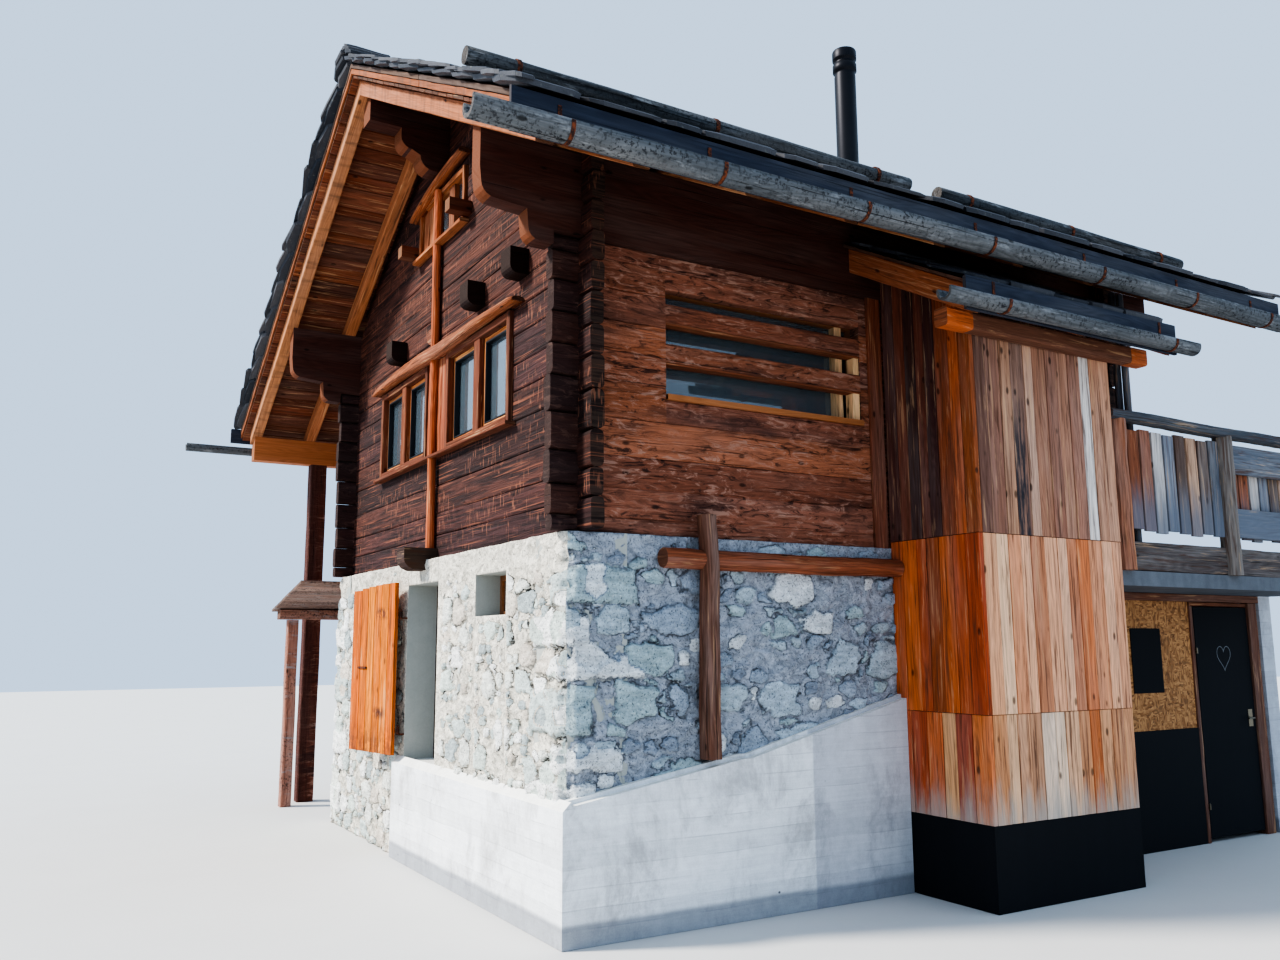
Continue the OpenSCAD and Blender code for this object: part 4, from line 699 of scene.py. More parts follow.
# %% stones(): one layer of stones of about one size
def stones(u, v, size, seed, keep, joint):
    """Cells of size (wide, high) in rows, with every other row moved half a cell. Each centre has
    its own reach, turn and slope. Distance = (|x|^2.3 + |y|^2.3)^(1 / 2.3), between round and
    blocky. The edge value is the second distance less the first less the joint: above 0 inside a
    stone, below 0 in mortar. A share keep of the cells holds a stone, the rest are turned over."""
    wide, high = size
    x0 = u / wide + 0.26 * layered(u / wide * 1.3, v / high * 1.3, seed + 40)
    y0 = v / high + 0.24 * layered(u / wide * 1.3, v / high * 1.3, seed + 50)
    x0 = x0 + 0.12 * layered(u / wide * 5, v / high * 4, seed + 41, 2)
    y0 = y0 + 0.12 * layered(u / wide * 5, v / high * 4, seed + 51, 2)
    table = np.random.default_rng(seed).random((7, 64, 64))
    best = np.full(u.shape, 9.0)
    second = best.copy()
    found = [np.zeros(u.shape) for _ in range(4)]
    for dj in (-1, 0, 1):
        row = np.floor(y0).astype(int) + dj
        for di in (-1, 0, 1):
            column = np.floor(x0 - 0.5 * (row % 2)).astype(int) + di
            pick = lambda n: table[n, column % 64, row % 64]
            x = x0 - (column + 0.5 * (row % 2) + 0.5 + 0.5 * (pick(0) - 0.5))
            y = y0 - (row + 0.5 + 0.4 * (pick(1) - 0.5))
            turned = (pick(3) - 0.5) * 0.9
            a = (x * np.cos(turned) + y * np.sin(turned)) / (0.78 + 0.5 * pick(2))
            b = (y * np.cos(turned) - x * np.sin(turned)) / (0.8 + 0.3 * pick(6))
            away = (np.abs(a) ** 2.3 + np.abs(b) ** 2.3) ** (1 / 2.3)
            nearer = away < best
            second = np.where(nearer, best, np.minimum(second, away))
            values = (pick(4), pick(5), a * (pick(0) - 0.5) + b * (pick(1) - 0.4), pick(2))
            found = [np.where(nearer, new, old) for new, old in zip(values, found)]
            best = np.where(nearer, away, best)
    lead = second - best
    edge = np.where(found[1] < keep, lead, -lead) - joint
    return edge, found[0], 0.5 * found[2] + 0.3 * found[3]


def quoins(u, v, corners):
    """Large blocks at the corners, in rows that both faces share. A block is long on one face and
    short on the other, row by row. The edge value is the nearest way out of the block, in units
    of 0.4 m."""
    bounds = np.cumsum([0.1, 0.33, 0.24, 0.3, 0.22, 0.36, 0.2, 0.28, 0.3])
    row = np.clip(np.searchsorted(bounds, v + 0.02 * layered(u * 3, v * 3, 5)) - 1, 0, len(bounds) - 2)
    middle, half = (bounds[row] + bounds[row + 1]) / 2, (bounds[row + 1] - bounds[row]) / 2
    edge = np.full(u.shape, -9.0)
    for corner, order in corners:
        long = np.where((row + order) % 2 == 0, 0.5, 0.2) * (0.8 + 0.45 * np.modf(row * 0.37)[0])
        aside = long - np.abs(u - corner)
        inside = np.minimum(aside, half - 0.02 - np.abs(v - middle)) / 0.4 + 0.09 * layered(u * 7, v * 9, 8, 3)
        edge = np.maximum(edge, inside)
    number = np.where(row % 3 == 1, 0.88, 0.38)
    return edge, number, 0.5 + 0.1 * np.cos(row * 5.0)


# %% rubble(): height, edge value and stone number of a wall face
def rubble(u, v, look, corners, fade):
    """Large stones, small ones where the large ones leave room, and blocks at the corners. Stones
    sink towards the plain top and the openings. Height is a tilted face inside a stone, lumps in
    the mortar, and a crack of depth exp(-(edge / 0.03)^2) where they meet."""
    seed = look["seed"]
    large = stones(u, v, look["size"], seed, look["keep"], look["joint"])
    small = stones(u, v, [0.42 * s for s in look["size"]], seed + 9, 0.5, look["joint"])
    near = np.minimum(small[0], -large[0] - 0.1)
    layers = [large, (near, small[1], small[2]), quoins(u, v, corners)]
    edge, number, face = layers[0]
    for other in layers[1:]:
        over = other[0] > edge
        edge, number, face = [np.where(over, o, e) for o, e in zip(other, (edge, number, face))]
    sink = np.clip((v - look["band"] + 0.12 * layered(u * 3, v * 0 + 3, 77)) / 0.12, 0, 1)
    edge = edge - 0.9 * np.maximum(sink, 1 - fade)
    stone = np.clip(edge / 0.10, 0, 1)
    stone = stone * stone * (3 - 2 * stone)
    crack = np.exp(-((edge / 0.03) ** 2)) * np.clip(0.5 + 2.5 * layered(u * 5, v * 5, seed + 60), 0, 1)
    lumps = 0.9 * layered(u * 8, v * 11, seed + 80, 4) + 0.4 * layered(u * 34, v * 34, seed + 90, 2)
    facets = face + 0.35 * layered(u * 8, v * 11, seed + 70, 3) + 0.12 * layered(u * 30, v * 30, seed + 71, 2)
    return stone * (0.45 + facets) + (1 - stone) * lumps - 0.5 * crack, edge, number


# %% [markdown]
# A wall panel is that grid in front and plain faces at its sides and back, so it is a closed
# block. Panels meet round the doorway and the cellar window, and share the same height function,
# so no seam shows. Towards a corner of the house both faces draw back together, which rounds it.

# %% panel(): one block of wall with a rubble face
def panel(pile, place, u_range, v_range, look, step, soft_edges=(), corners=(), thick=0.45):
    """Point = origin + along u + up v + outward h(u, v). The height h fades to nothing by the plain
    edges in soft_edges, and h and u draw back by the same curve at a corner."""
    origin, along, outward = [np.asarray(part, float) for part in place]
    nu = max(2, int(round((u_range[1] - u_range[0]) / step)) + 1)
    nv = max(2, int(round((v_range[1] - v_range[0]) / step)) + 1)
    u, v = np.meshgrid(np.linspace(*u_range, nu), np.linspace(*v_range, nv), indexing="ij")
    fade = np.ones_like(u)
    for axis, edge_at, reach in soft_edges:
        fade = fade * np.clip(np.abs((u if axis == 0 else v) - edge_at) / reach, 0, 1)
    height, edge, number = rubble(u, v, look, corners, fade)
    move = look["depth"] * height * fade
    slide = np.zeros_like(u)
    for at, _ in corners:
        deep = np.clip(0.024 + 0.06 * layered(v * 6, v * 0 + 1.5, 12), 0.002, 0.06)
        pull = np.exp(-(((u - at) / 0.05) ** 2)) * deep
        move = move * (1 - np.exp(-(((u - at) / 0.03) ** 2))) - pull
        slide = slide + pull * np.sign(u.mean() - at)
    front = origin + (u + slide)[..., None] * along + v[..., None] * Z + move[..., None] * outward
    ids = np.arange(nu * nv).reshape(nu, nv)
    cells = np.stack([ids[:-1, :-1], ids[1:, :-1], ids[1:, 1:], ids[:-1, 1:]], -1).reshape(-1, 4)
    back = np.array([origin + along * u_range[i] + Z * v_range[j] - outward * thick
                     for i, j in ((0, 0), (1, 0), (1, 1), (0, 1))])
    m = nu * nv
    rims = [np.concatenate([ids[::-1, 0], [m, m + 1]]), np.concatenate([ids[-1, ::-1], [m + 1, m + 2]]),
            np.concatenate([ids[:, -1], [m + 2, m + 3]]), np.concatenate([ids[0, :], [m + 3, m]]),
            np.array([m + 3, m + 2, m + 1, m])]
    if np.dot(np.cross(along, Z), outward) < 0:
        cells, rims = cells[:, ::-1], [r[::-1] for r in rims]
    uv = np.stack([u, v], -1).reshape(-1, 2)
    faces = [(cells, uv[cells], rows(len(cells), 0, 0, 0.5, 0))]
    back_uv = np.concatenate([uv, [[0, 0], [1, 0], [1, 1], [0, 1]]])
    for rim in rims:
        faces.append((rim[None], back_uv[rim][None], rows(1, 0, 1, 0.5, 1)))
    pile.add(np.concatenate([front.reshape(-1, 3), back]), faces)
    return np.concatenate([edge.ravel(), np.full(4, -1)]), np.concatenate([number.ravel(), np.zeros(4)])


def stone_wall(name, finish, jobs, replaces):
    pile = Pile()
    masks = [panel(pile, *job) for job in jobs]
    values = {"edge": np.concatenate([m[0] for m in masks]), "number": np.concatenate([m[1] for m in masks])}
    return pile.build(name, [finish, plaster], slot="rubble", smooth=True, extra=values, replaces=replaces)


# %% The finish of the rubble: stones by number, mortar between, and painted shade in the cracks at their edges
def rubble_finish(name, mortar, shades, crack):
    """The stone's number picks its shade on a ramp. Fine noise frays the edge value, which lays mortar below 0
    and, about 0, a dark line of painted shade in the crack round the stone, broken by a slower noise. Dark pits
    are painted shade in small holes, and crack sets how dark the painted crack shade is."""
    finish, tree, shader = fresh(name)
    spot = place(tree)
    ramp = node(tree, "ValToRGB", {0: mark(tree, "number")})
    ramp.color_ramp.interpolation = "CONSTANT"
    for i, shade in enumerate(shades):
        item = ramp.color_ramp.elements[i] if i < 2 else ramp.color_ramp.elements.new(i / len(shades))
        item.position, item.color = i / len(shades), ink(*shade)
    lumps = noise(spot, 26, 5, 0.68)
    swirl = twisted(spot * (9, 9, 13), 6, 0.72, 1.6)
    veins = noise(spot * (4, 4, 22), 1.0, 5, 0.75)
    edge = mark(tree, "edge") + (lumps - 0.5) * 0.42
    inside = steps(edge, 0.0, 0.06)
    # painted shade: a dark line in the crevice round each stone
    dark = steps(abs(edge), 0.0, 0.045, 1, 0) * steps(noise(spot, 4.5, 4, 0.65), 0.42, 0.6)
    stone = dimmed(Wire(ramp), steps(veins, 0.3, 0.72, 0.3, 0.72) + steps(swirl, 0.3, 0.7, 0.3, 0.62))
    stone = mixed(steps(noise(spot, 60, 4, 0.75), 0.55, 0.72, 0, 0.55), stone, (0.78, 0.8, 0.78, 1))
    bed = dimmed(paint(*mortar), steps(swirl, 0.3, 0.68, 0.56, 1.22))
    # painted shade: dark pits in the mortar and stones
    pit_shade = steps(noise(spot, 70, 3, 0.6), 0.33, 0.44, 1, 0)
    colour = mixed(pit_shade * 0.7, mixed(inside, bed, stone), ink(60, 62, 66))
    colour = mixed(dark * crack, colour, ink(44, 47, 52))
    look = node(tree, "Group", node_tree=mottle_group)
    feed(look, {"Place": spot, "Base": colour, "Clouds": 0.16, "Speckle": 0.5, "Pores": 0.3, "Streaks": 0.1})
    height = swirl * 1.4 + veins * 0.6 + lumps + inside * 0.5 + Wire(look, "Height") - dark
    feed(shader, {"Base Color": Wire(look, "Color"), "Roughness": 0.93, "Specular IOR Level": 0.2,
                  "Normal": bump(tree, 1.0, 0.014, height)})
    return finish


# The last number is the strength of the painted shade in the cracks.
front_rubble = rubble_finish("front_rubble", (226, 220, 206), [
    (228, 230, 222), (208, 218, 210), (244, 244, 240), (176, 186, 186), (216, 206, 192), (198, 208, 204)], 1.0)
side_rubble = rubble_finish("side_rubble", (172, 178, 188), [
    (186, 200, 210), (164, 176, 190), (228, 232, 234), (180, 194, 202), (150, 160, 174), (176, 194, 198)], 0.42)

# %% Front wall: left of the door, over the door, and round the cellar window
WIDTH, DEPTH, STONE_TOP = 5.44, 5.65, 2.52
FRONT = (0, 0, 0), (1, 0, 0), (0, -1, 0)
RIGHT = (0, 0, 0), (0, 1, 0), (1, 0, 0)
LEFT = (-WIDTH, 0, 0), (0, 1, 0), (-1, 0, 0)
REAR = (0, DEPTH, 0), (1, 0, 0), (0, 1, 0)
small = {"size": (0.27, 0.18), "seed": 3, "keep": 0.62, "joint": 0.14, "band": 2.22, "depth": 0.03}
big = {"size": (0.42, 0.26), "seed": 21, "keep": 0.44, "joint": 0.22, "band": 2.42, "depth": 0.034}
full, plinth, fine = (0, STONE_TOP), 0.82, 0.0155
door_x, door_top, cellar_x, cellar_z = (-3.105, -2.34), 2.32, (-1.52, -0.945), (2.01, 2.32)
jambs = [(0, door_x[0], 0.16), (0, door_x[1], 0.16)]
sides = [(0, cellar_x[0], 0.06), (0, cellar_x[1], 0.06)]
stone_wall("front_stone_wall", front_rubble, [
    (FRONT, (-WIDTH, door_x[0]), full, small, fine, jambs[:1], [(-WIDTH, 0)]),
    (FRONT, door_x, (door_top, STONE_TOP), small, fine, [(1, door_top, 0.12)] + jambs),
    (FRONT, (door_x[1], cellar_x[0]), (plinth, STONE_TOP), small, fine, [jambs[1], sides[0]]),
    (FRONT, (cellar_x[1], 0), (plinth, STONE_TOP), small, 0.0125, sides[1:], [(0.0, 0)]),
    (FRONT, cellar_x, (plinth, cellar_z[0]), small, fine, [(1, cellar_z[0], 0.06)] + sides),
    (FRONT, cellar_x, (cellar_z[1], STONE_TOP), small, fine, [(1, cellar_z[1], 0.05)] + sides)],
    ("stone_front_left", "stone_front_right", "stone_front_lintel"))

# %% Side walls and rear wall, with larger stones
stone_wall("side_stone_wall", side_rubble, [
    (RIGHT, (0, 2.9), (0.84, STONE_TOP), big, 0.014, [(0, 2.9, 0.1)], [(0.0, 1)]),
    (RIGHT, (0.45, 2.9), (0, 0.84), big, 0.3, [(1, 0.84, 3), (1, 0.0, 3)]),
    (RIGHT, (2.9, DEPTH), full, big, 0.04, [(0, 2.9, 0.1), (0, 4.4, 0.1)], [(DEPTH, 1)])], ("stone_sides",))
stone_wall("far_stone_walls", side_rubble, [
    (LEFT, (0, DEPTH), full, dict(big, seed=33), 0.03, (), [(0.0, 1), (DEPTH, 1)]),
    (REAR, (-WIDTH, 0), full, dict(big, seed=45), 0.03, (), [(-WIDTH, 0), (0.0, 0)])], ("stone_rear",))
dress(concrete, "plinth_front", "plinth_side", "store_walls")
dress(mineral("slab_edge", (104, 108, 114), 0.3, 0.4, 0.5, 0.5, 0.92, 0.004), "terrace_slab")
dress(room_concrete, "ground_floor")
dress(floor_wood, "upper_floor")


# %% [markdown]
# ## The log storey
# Logs squared with an axe lie on each other and cross at the corners, where each end stands out
# past the other wall. Every log is one timber with its own colour. Where a window or the roof
# cuts it, it is made in shorter bars, and under the roof its ends follow the slope.

# %% Levels of the log courses, from the CAD model's values
COURSES = np.array([215, 190, 250, 265, 230, 205, 230, 205, 210, 220, 200, 230, 215, 225, 200, 220, 210,
                    225, 215, 230]) / 1000
SEAMS = STONE_TOP + np.concatenate([[0], np.cumsum(COURSES)])
SIDE_SEAMS = np.concatenate([[STONE_TOP], (SEAMS[:9] + SEAMS[1:10]) / 2, [4.52]])
RIDGE_X, PITCH, RIDGE_Z, GABLE_TOP = -WIDTH / 2, 0.55203, 6.61, 6.755
EAVES, LOG = ((1, 1.08), (-1, -7.25)), 0.1
rafter_z = lambda x: RIDGE_Z - PITCH * np.abs(x - RIDGE_X)
GABLE_SHADES = [(50, 29, 26), (74, 42, 34), (92, 52, 38), (58, 36, 36), (80, 46, 40)]
SIDE_SHADES = [(146, 86, 58), (160, 100, 72), (128, 76, 56), (150, 94, 72), (116, 72, 58)]
SLOT_Y = 0.79, 2.59
STUB = {"corner": 0.03, "arcs": 3, "rings": 4, "bow": 0.0, "rough": 0.002}


def under_roof(points, anchor, low):
    """A point at offset r from the ridge moves to off + (r - off) (reach(z) - off) / (reach(low) - off),
    where reach(z) is half the width of the gable under the roof and off is where the log begins."""
    reach = lambda z: np.minimum((GABLE_TOP - z) / PITCH, 3.4)
    off = abs(anchor - RIDGE_X)
    r = np.abs(points[..., 0] - RIDGE_X)
    moved = off + (r - off) * (reach(points[..., 2]) - off) / (reach(low) - off)
    points[..., 0] = RIDGE_X + np.sign(points[..., 0] - RIDGE_X) * np.where(r > off, moved, r)
    return points


def gable(y0, openings, seed, whole=12):
    """Bars of every course between its ends and the openings that it meets. The lower courses run
    the whole width and have ends that stand out."""
    rng = np.random.default_rng(seed)
    for k in range(19):
        low, high = SEAMS[k], SEAMS[k + 1]
        half = 2.66 if k < whole else min(2.58, (GABLE_TOP - low) / PITCH)
        bars = [(RIDGE_X - half, RIDGE_X + half, low, high)]
        for x0, x1, z0, z1 in openings:
            if low < z1 - 0.001 and high > z0 + 0.001:
                bars = [(bars[0][0], x0, low, high), (x1, bars[0][1], low, high)]
                bars += [bar for bar in ((x0, x1, low, z0), (x0, x1, z1, high)) if bar[3] > bar[2]]
        dye = tints(1, *GABLE_SHADES, seed=seed * 50 + k, spread=0.1)[0]
        for end in (-1, 1) if k < whole else ():
            x0, x1 = sorted((RIDGE_X + end * 2.64, RIDGE_X + end * (2.848 + 0.024 * rng.random())))
            # painted shade: the ends that stand out are a quarter darker than their log
            yield beam((x0, y0 + 0.001, low + 0.003), (x1, y0 + LOG - 0.001, high - 0.003), dye * 0.75, 0,
                       seed=seed * 70 + k, **STUB)
        for i, (x0, x1, z0, z1) in enumerate(bars):
            points, faces = beam((x0, y0 + 0.003 * rng.random(), z0), (x1, y0 + LOG, z1), dye, 0, rough=0.002,
                                 seed=seed * 90 + k * 4 + i, corner=0.015, arcs=3,
                                 rings=max(3, int((x1 - x0) * 4)))
            if k >= whole and i < 2:
                points = under_roof(points, x0 if i == 1 else x1 if len(bars) > 1 else RIDGE_X, z0)
            yield points, faces


def side(x0, slots, seed):
    """Side logs, cut by the slots of the side window, and their ends at the corners."""
    rng = np.random.default_rng(seed)
    boxes, stubs = [], []
    for k in range(10):
        low, high = SIDE_SEAMS[k], SIDE_SEAMS[k + 1]
        for y0, y1 in ((-0.102 + 0.024 * rng.random(), 0.18), (5.47, 5.728 + 0.024 * rng.random())):
            stubs.append([(x0 + 0.001, y0, low + 0.003), (x0 + LOG - 0.001, y1, high - 0.003)])
        cut = any(low < b and high > a for a, b in slots)
        boxes += [[(x0, y0, low), (x0 + LOG, y1, high)]
                  for y0, y1 in (((0.16, SLOT_Y[0]), (SLOT_Y[1], 5.49)) if cut else ((0.16, 5.49),))]
    if slots:
        levels = [SIDE_SEAMS[4]] + [z for s in slots for z in s] + [SIDE_SEAMS[9]]
        boxes += [[(x0, SLOT_Y[0], levels[i]), (x0 + LOG, SLOT_Y[1], levels[i + 1])] for i in range(0, 8, 2)]
    yield beams(boxes, tints(len(boxes), *SIDE_SHADES, seed=seed), 1, seed=seed, rings=26, bow=0.002,
                rough=0.0016)
    yield beams(stubs, tints(20, *GABLE_SHADES, seed=seed), 1, seed=seed + 3, **STUB)


# %% Front and rear gable logs, and side logs
BAND = (-4.33, -1.11, SEAMS[4], SEAMS[8])
ATTIC = (-3.30, -2.14, 5.41, 5.91)
SLOTS = [(3.474, 3.746), (3.88, 4.032), (4.168, 4.275)]
make("gable_logs", dark_log, "log_dark", ("logs_front_lower", "logs_front_middle", "logs_front_gable"),
     *gable(0.1, [BAND, ATTIC], 1))
make("rear_logs", dark_log, "log_dark", ("logs_rear",), *gable(5.45, [], 2))
make("side_logs_right", red_log, "log_red", ("logs_side",), *side(-0.14, SLOTS, 5))
make("side_logs_left", red_log, "log_red", ("logs_left",), *side(-5.40, [], 6))
dress(carried_dark, "wall_plates", "ridge_purlin", "ridge_consoles")
dress(carried_orange, "outer_purlin")

# %% [markdown]
# ## The roof timbers
# Rafters run up each slope, and boards that carry the slates lie across them, rough side down.
# Seen from below they make most of the warm colour of the house. The boards are made course by
# course along the slope: their section leans with the roof, and their length runs with the ridge.

# %% Rafters
RAFTER_YS = [-0.706, -0.08] + [-0.08 + i * (DEPTH - 0.116 + 0.16) / 7 for i in range(1, 7)] + [5.614, 6.24]
inner, barges = [], []
for slope, x_end in ((1, 1.0), (-1, -7.09)):
    for i, y in enumerate(RAFTER_YS):
        start, end = [(x, y + 0.058, rafter_z(x) + 0.0753) for x in (RIDGE_X + slope * 0.0005, x_end)]
        dye = tints(1, (172, 108, 68), (152, 92, 58), (182, 124, 84), seed=i + 30 * slope + 40, spread=0.08)
        (barges if i in (0, 9) else inner).append(timbers(start, end, Y * 0.114, Z * 0.148, dye, corner=0.006,
                                                          rings=14, rough=0.0008, seed=i + 27 + 20 * slope))
make("rafter_timbers", fresh_timber, "timber_fresh", ("rafters",), *inner)
make("barge_rafters", stained_timber, "timber_fresh", (), *barges)

# %% Roof boards over the rafters
SOFFIT = [(118, 62, 38), (92, 50, 32), (136, 76, 46), (72, 42, 32), (124, 72, 48)]


def slope_boards(slope, x_end, y0, y1, low, high, seed, gap, width):
    """Each board's section leans with the roof: across = the slope's direction times its width,
    up = a vertical of the board's thickness."""
    rng = np.random.default_rng(seed)
    span = abs(x_end - RIDGE_X) - 0.003
    count = int(span / width)
    cuts = np.linspace(0, span, count + 1)
    cuts[1:-1] += (rng.random(count - 1) - 0.5) * width * 0.4
    middle = RIDGE_X + slope * ((cuts[:-1] + cuts[1:]) / 2 + 0.0015)
    lift = low + (high - low) / 2 + rng.random(count) * 0.004
    starts = np.stack([middle, np.full(count, y0), rafter_z(middle) + lift], 1)
    across = np.array([slope, 0, -PITCH]) * (np.diff(cuts) - gap)[:, None]
    return timbers(starts, starts + Y * (y1 - y0), across, Z * (high - low),
                   tints(count, *SOFFIT, seed=seed, spread=0.15), corner=0.004, rings=22, bow=0.0015,
                   rough=0.0012, seed=seed)


lining, cover = (-0.77, 6.42, 0.1515, 0.1765, 60, 0.008, 0.15), (-0.765, 6.415, 0.184, 0.288, 70, 0.001, 0.6)
make("roof_boards", soffit_wood, "boards", ("roof_deck",), *[
    slope_boards(slope, x_end, y0, y1, low, high, seed + slope, gap, width)
    for slope, x_end in EAVES for y0, y1, low, high, seed, gap, width in (lining, cover)])

# %% Verge boards at both gables: a lower strip and a darker upper strip that stands out
verge = Pile()
for slope, x_end in EAVES:
    cuts = RIDGE_X + slope * np.linspace(abs(x_end - RIDGE_X), 0.002, 5)
    for y, sign in ((-0.77, -1), (6.42, 1)):
        for low, high, out, shades in ((0.182, 0.236, 0.018, [(150, 88, 52), (130, 76, 48)]),
                                       (0.238, 0.284, 0.024, [(84, 66, 58), (110, 84, 66)])):
            for i in range(4):
                start, end = [(x, y + sign * out / 2, rafter_z(x) + (low + high) / 2) for x in cuts[i:i + 2]]
                verge.add(*timbers(start, end, Y * out, Z * (high - low - 0.003),
                                   tints(1, *shades, seed=i + int(low * 1000) + 3 * slope), corner=0.003,
                                   rings=10, bow=0.002, rough=0.0015, seed=i + 11))
verge.build("verge_strips", stained_timber, slot="boards", replaces=("verge_boards",))
dress(fascia_paint, "fascia")

# %% [markdown]
# ## Slates
# The roof is laid with thick, rough stone slabs. One slab is a ring of ten edge points, drawn
# in a little at the top, so it costs few faces however often it is repeated. All the slabs of a
# slope are worked out together: each course overlaps the one below, and at the gable ends the
# slabs stick out unevenly, which gives the roof its ragged black edge.

# %% slabs(): many rough slabs at once
def slabs(centres, length, width, thick, lean, seed, spin=0.06):
    """Edge point = centre + (a cos w, b sin w) on a squared circle of ten corners, each moved at
    random. lean is the slabs' direction up the slope, and their thickness stands upright."""
    rng = np.random.default_rng(seed)
    k, n = len(centres), 10
    turn = np.linspace(0, 2 * np.pi, n, endpoint=False) + 0.3
    power = lambda c: np.sign(c) * np.abs(c) ** 0.45
    a = power(np.cos(turn)) * (1 + 0.10 * (rng.random((k, n)) - 0.5)) * length[:, None] / 2
    b = power(np.sin(turn)) * (1 + 0.12 * (rng.random((k, n)) - 0.5)) * width[:, None] / 2
    twist = (rng.random(k) - 0.5)[:, None] * 2 * spin
    a, b = a * np.cos(twist) - b * np.sin(twist), a * np.sin(twist) + b * np.cos(twist)
    levels, inset = np.array([0.0, 0.8, 1.0]), np.array([0.96, 1.0, 0.93])
    shape = np.stack([a, b], -1)[:, None] * inset[None, :, None, None]
    lift = (levels[None, :, None] * thick[:, None, None]) + 0.006 * (rng.random((k, 3, n)) - 0.5)
    points = centres[:, None, None] + shape[..., :1] * lean + shape[..., 1:] * Y + lift[..., None] * Z
    quads, ends = tube(k, 3, n)
    if lean[0] < 0:
        quads, ends = quads[..., ::-1], ends[..., ::-1]
    flat, tone = points[..., :2].reshape(-1, 2), rng.random(k)
    quads = quads.reshape(-1, 4)
    return points, [(corners_of, flat[corners_of], rows(len(corners_of), np.repeat(tone, per), 0, 0.1))
                    for corners_of, per in ((quads, 2 * n), (ends[:, 1], 1), (ends[:, 0], 1))]


def slate_slope(slope, x_end, y0, y1, base, seed, x_top=RIDGE_X, z_of=rafter_z, step=0.33):
    """Courses from the eave to the ridge; in each the slabs' widths vary and add up to the length."""
    rng = np.random.default_rng(seed)
    span = abs(x_end - x_top)
    courses, count = int(span / step), int((y1 - y0) / 0.42)
    for c in range(courses):
        x_low = x_end - slope * c * span / courses
        cuts = np.linspace(y0, y1, count + 1)
        cuts[1:-1] += (rng.random(count - 1) - 0.5) * 0.2
        cuts[0] += 0.05 * rng.random()
        cuts[-1] -= 0.05 * rng.random()
        length = span / courses * 1.3 + 0.05 * rng.random(count)
        reach = np.minimum(length, abs(x_low - x_top))
        x = x_low - slope * (reach / 2 + 0.012 * rng.random(count))
        high = z_of(x) + base + 0.014 + rng.random(count) * 0.006
        centres = np.stack([x, (cuts[:-1] + cuts[1:]) / 2, high], 1)
        thick = 0.026 + 0.018 * rng.random(count)
        yield slabs(centres, reach, np.diff(cuts) + 0.01, thick, (-slope, 0, PITCH - 0.07), seed * 40 + c)


def verge_slabs(slope, x_end, y, count=15):
    """A second layer of short slabs along a verge."""
    rng = np.random.default_rng(int(y * 10) + slope + 50)
    x = RIDGE_X + slope * np.linspace(0.45, abs(x_end - RIDGE_X) - 0.12, count)
    wavy = y + 0.03 * (rng.random(count) - 0.5)
    centres = np.stack([x, wavy, rafter_z(x) + 0.334 + 0.012 * rng.random(count)], 1)
    return slabs(centres, 0.34 + 0.1 * rng.random(count), 0.11 + 0.03 * rng.random(count),
                 0.02 + 0.012 * rng.random(count), (-slope, 0, PITCH - 0.05), 90 + slope, 0.2)


make("roof_slates", slate, "slate", ("slates",), *slate_slope(1, 1.165, -0.895, 6.545, 0.2903, 1),
     *slate_slope(-1, -7.305, -0.895, 6.545, 0.2903, 2),
     *[verge_slabs(slope, x_end, y) for slope, x_end in ((1, 1.1), (-1, -7.25)) for y in (-0.83, 6.48)])

# %% Ridge slabs, stacked three deep with ragged ends
ridge = Pile()
for level, (half, rise) in enumerate(((0.30, 0.355), (0.24, 0.39), (0.17, 0.42))):
    for slope in (1, -1):
        rng = np.random.default_rng(level * 7 + slope + 9)
        y = np.linspace(-0.9, 6.55, 16 + level)
        x = np.full(15 + level, RIDGE_X + slope * half / 2)
        centres = np.stack([x, (y[:-1] + y[1:]) / 2, rafter_z(x) + rise + 0.01 * rng.random(len(x))], 1)
        ridge.add(*slabs(centres, np.full(len(x), half), np.diff(y) * 0.98, 0.022 + 0.016 * rng.random(len(x)),
                         (-slope, 0, PITCH * 0.9), 200 + level, 0.04))
ridge.build("ridge_slabs", slate, slot="slate", replaces=("ridge_slates",))

# %% [markdown]
# ## Gutters, hooks and snow logs
# The gutters are whole logs with a trough cut out of the top, held by iron straps. A trough log
# has one section all along, so it is a closed profile carried along a straight path, with slow
# waves in the radius for the hewn surface.

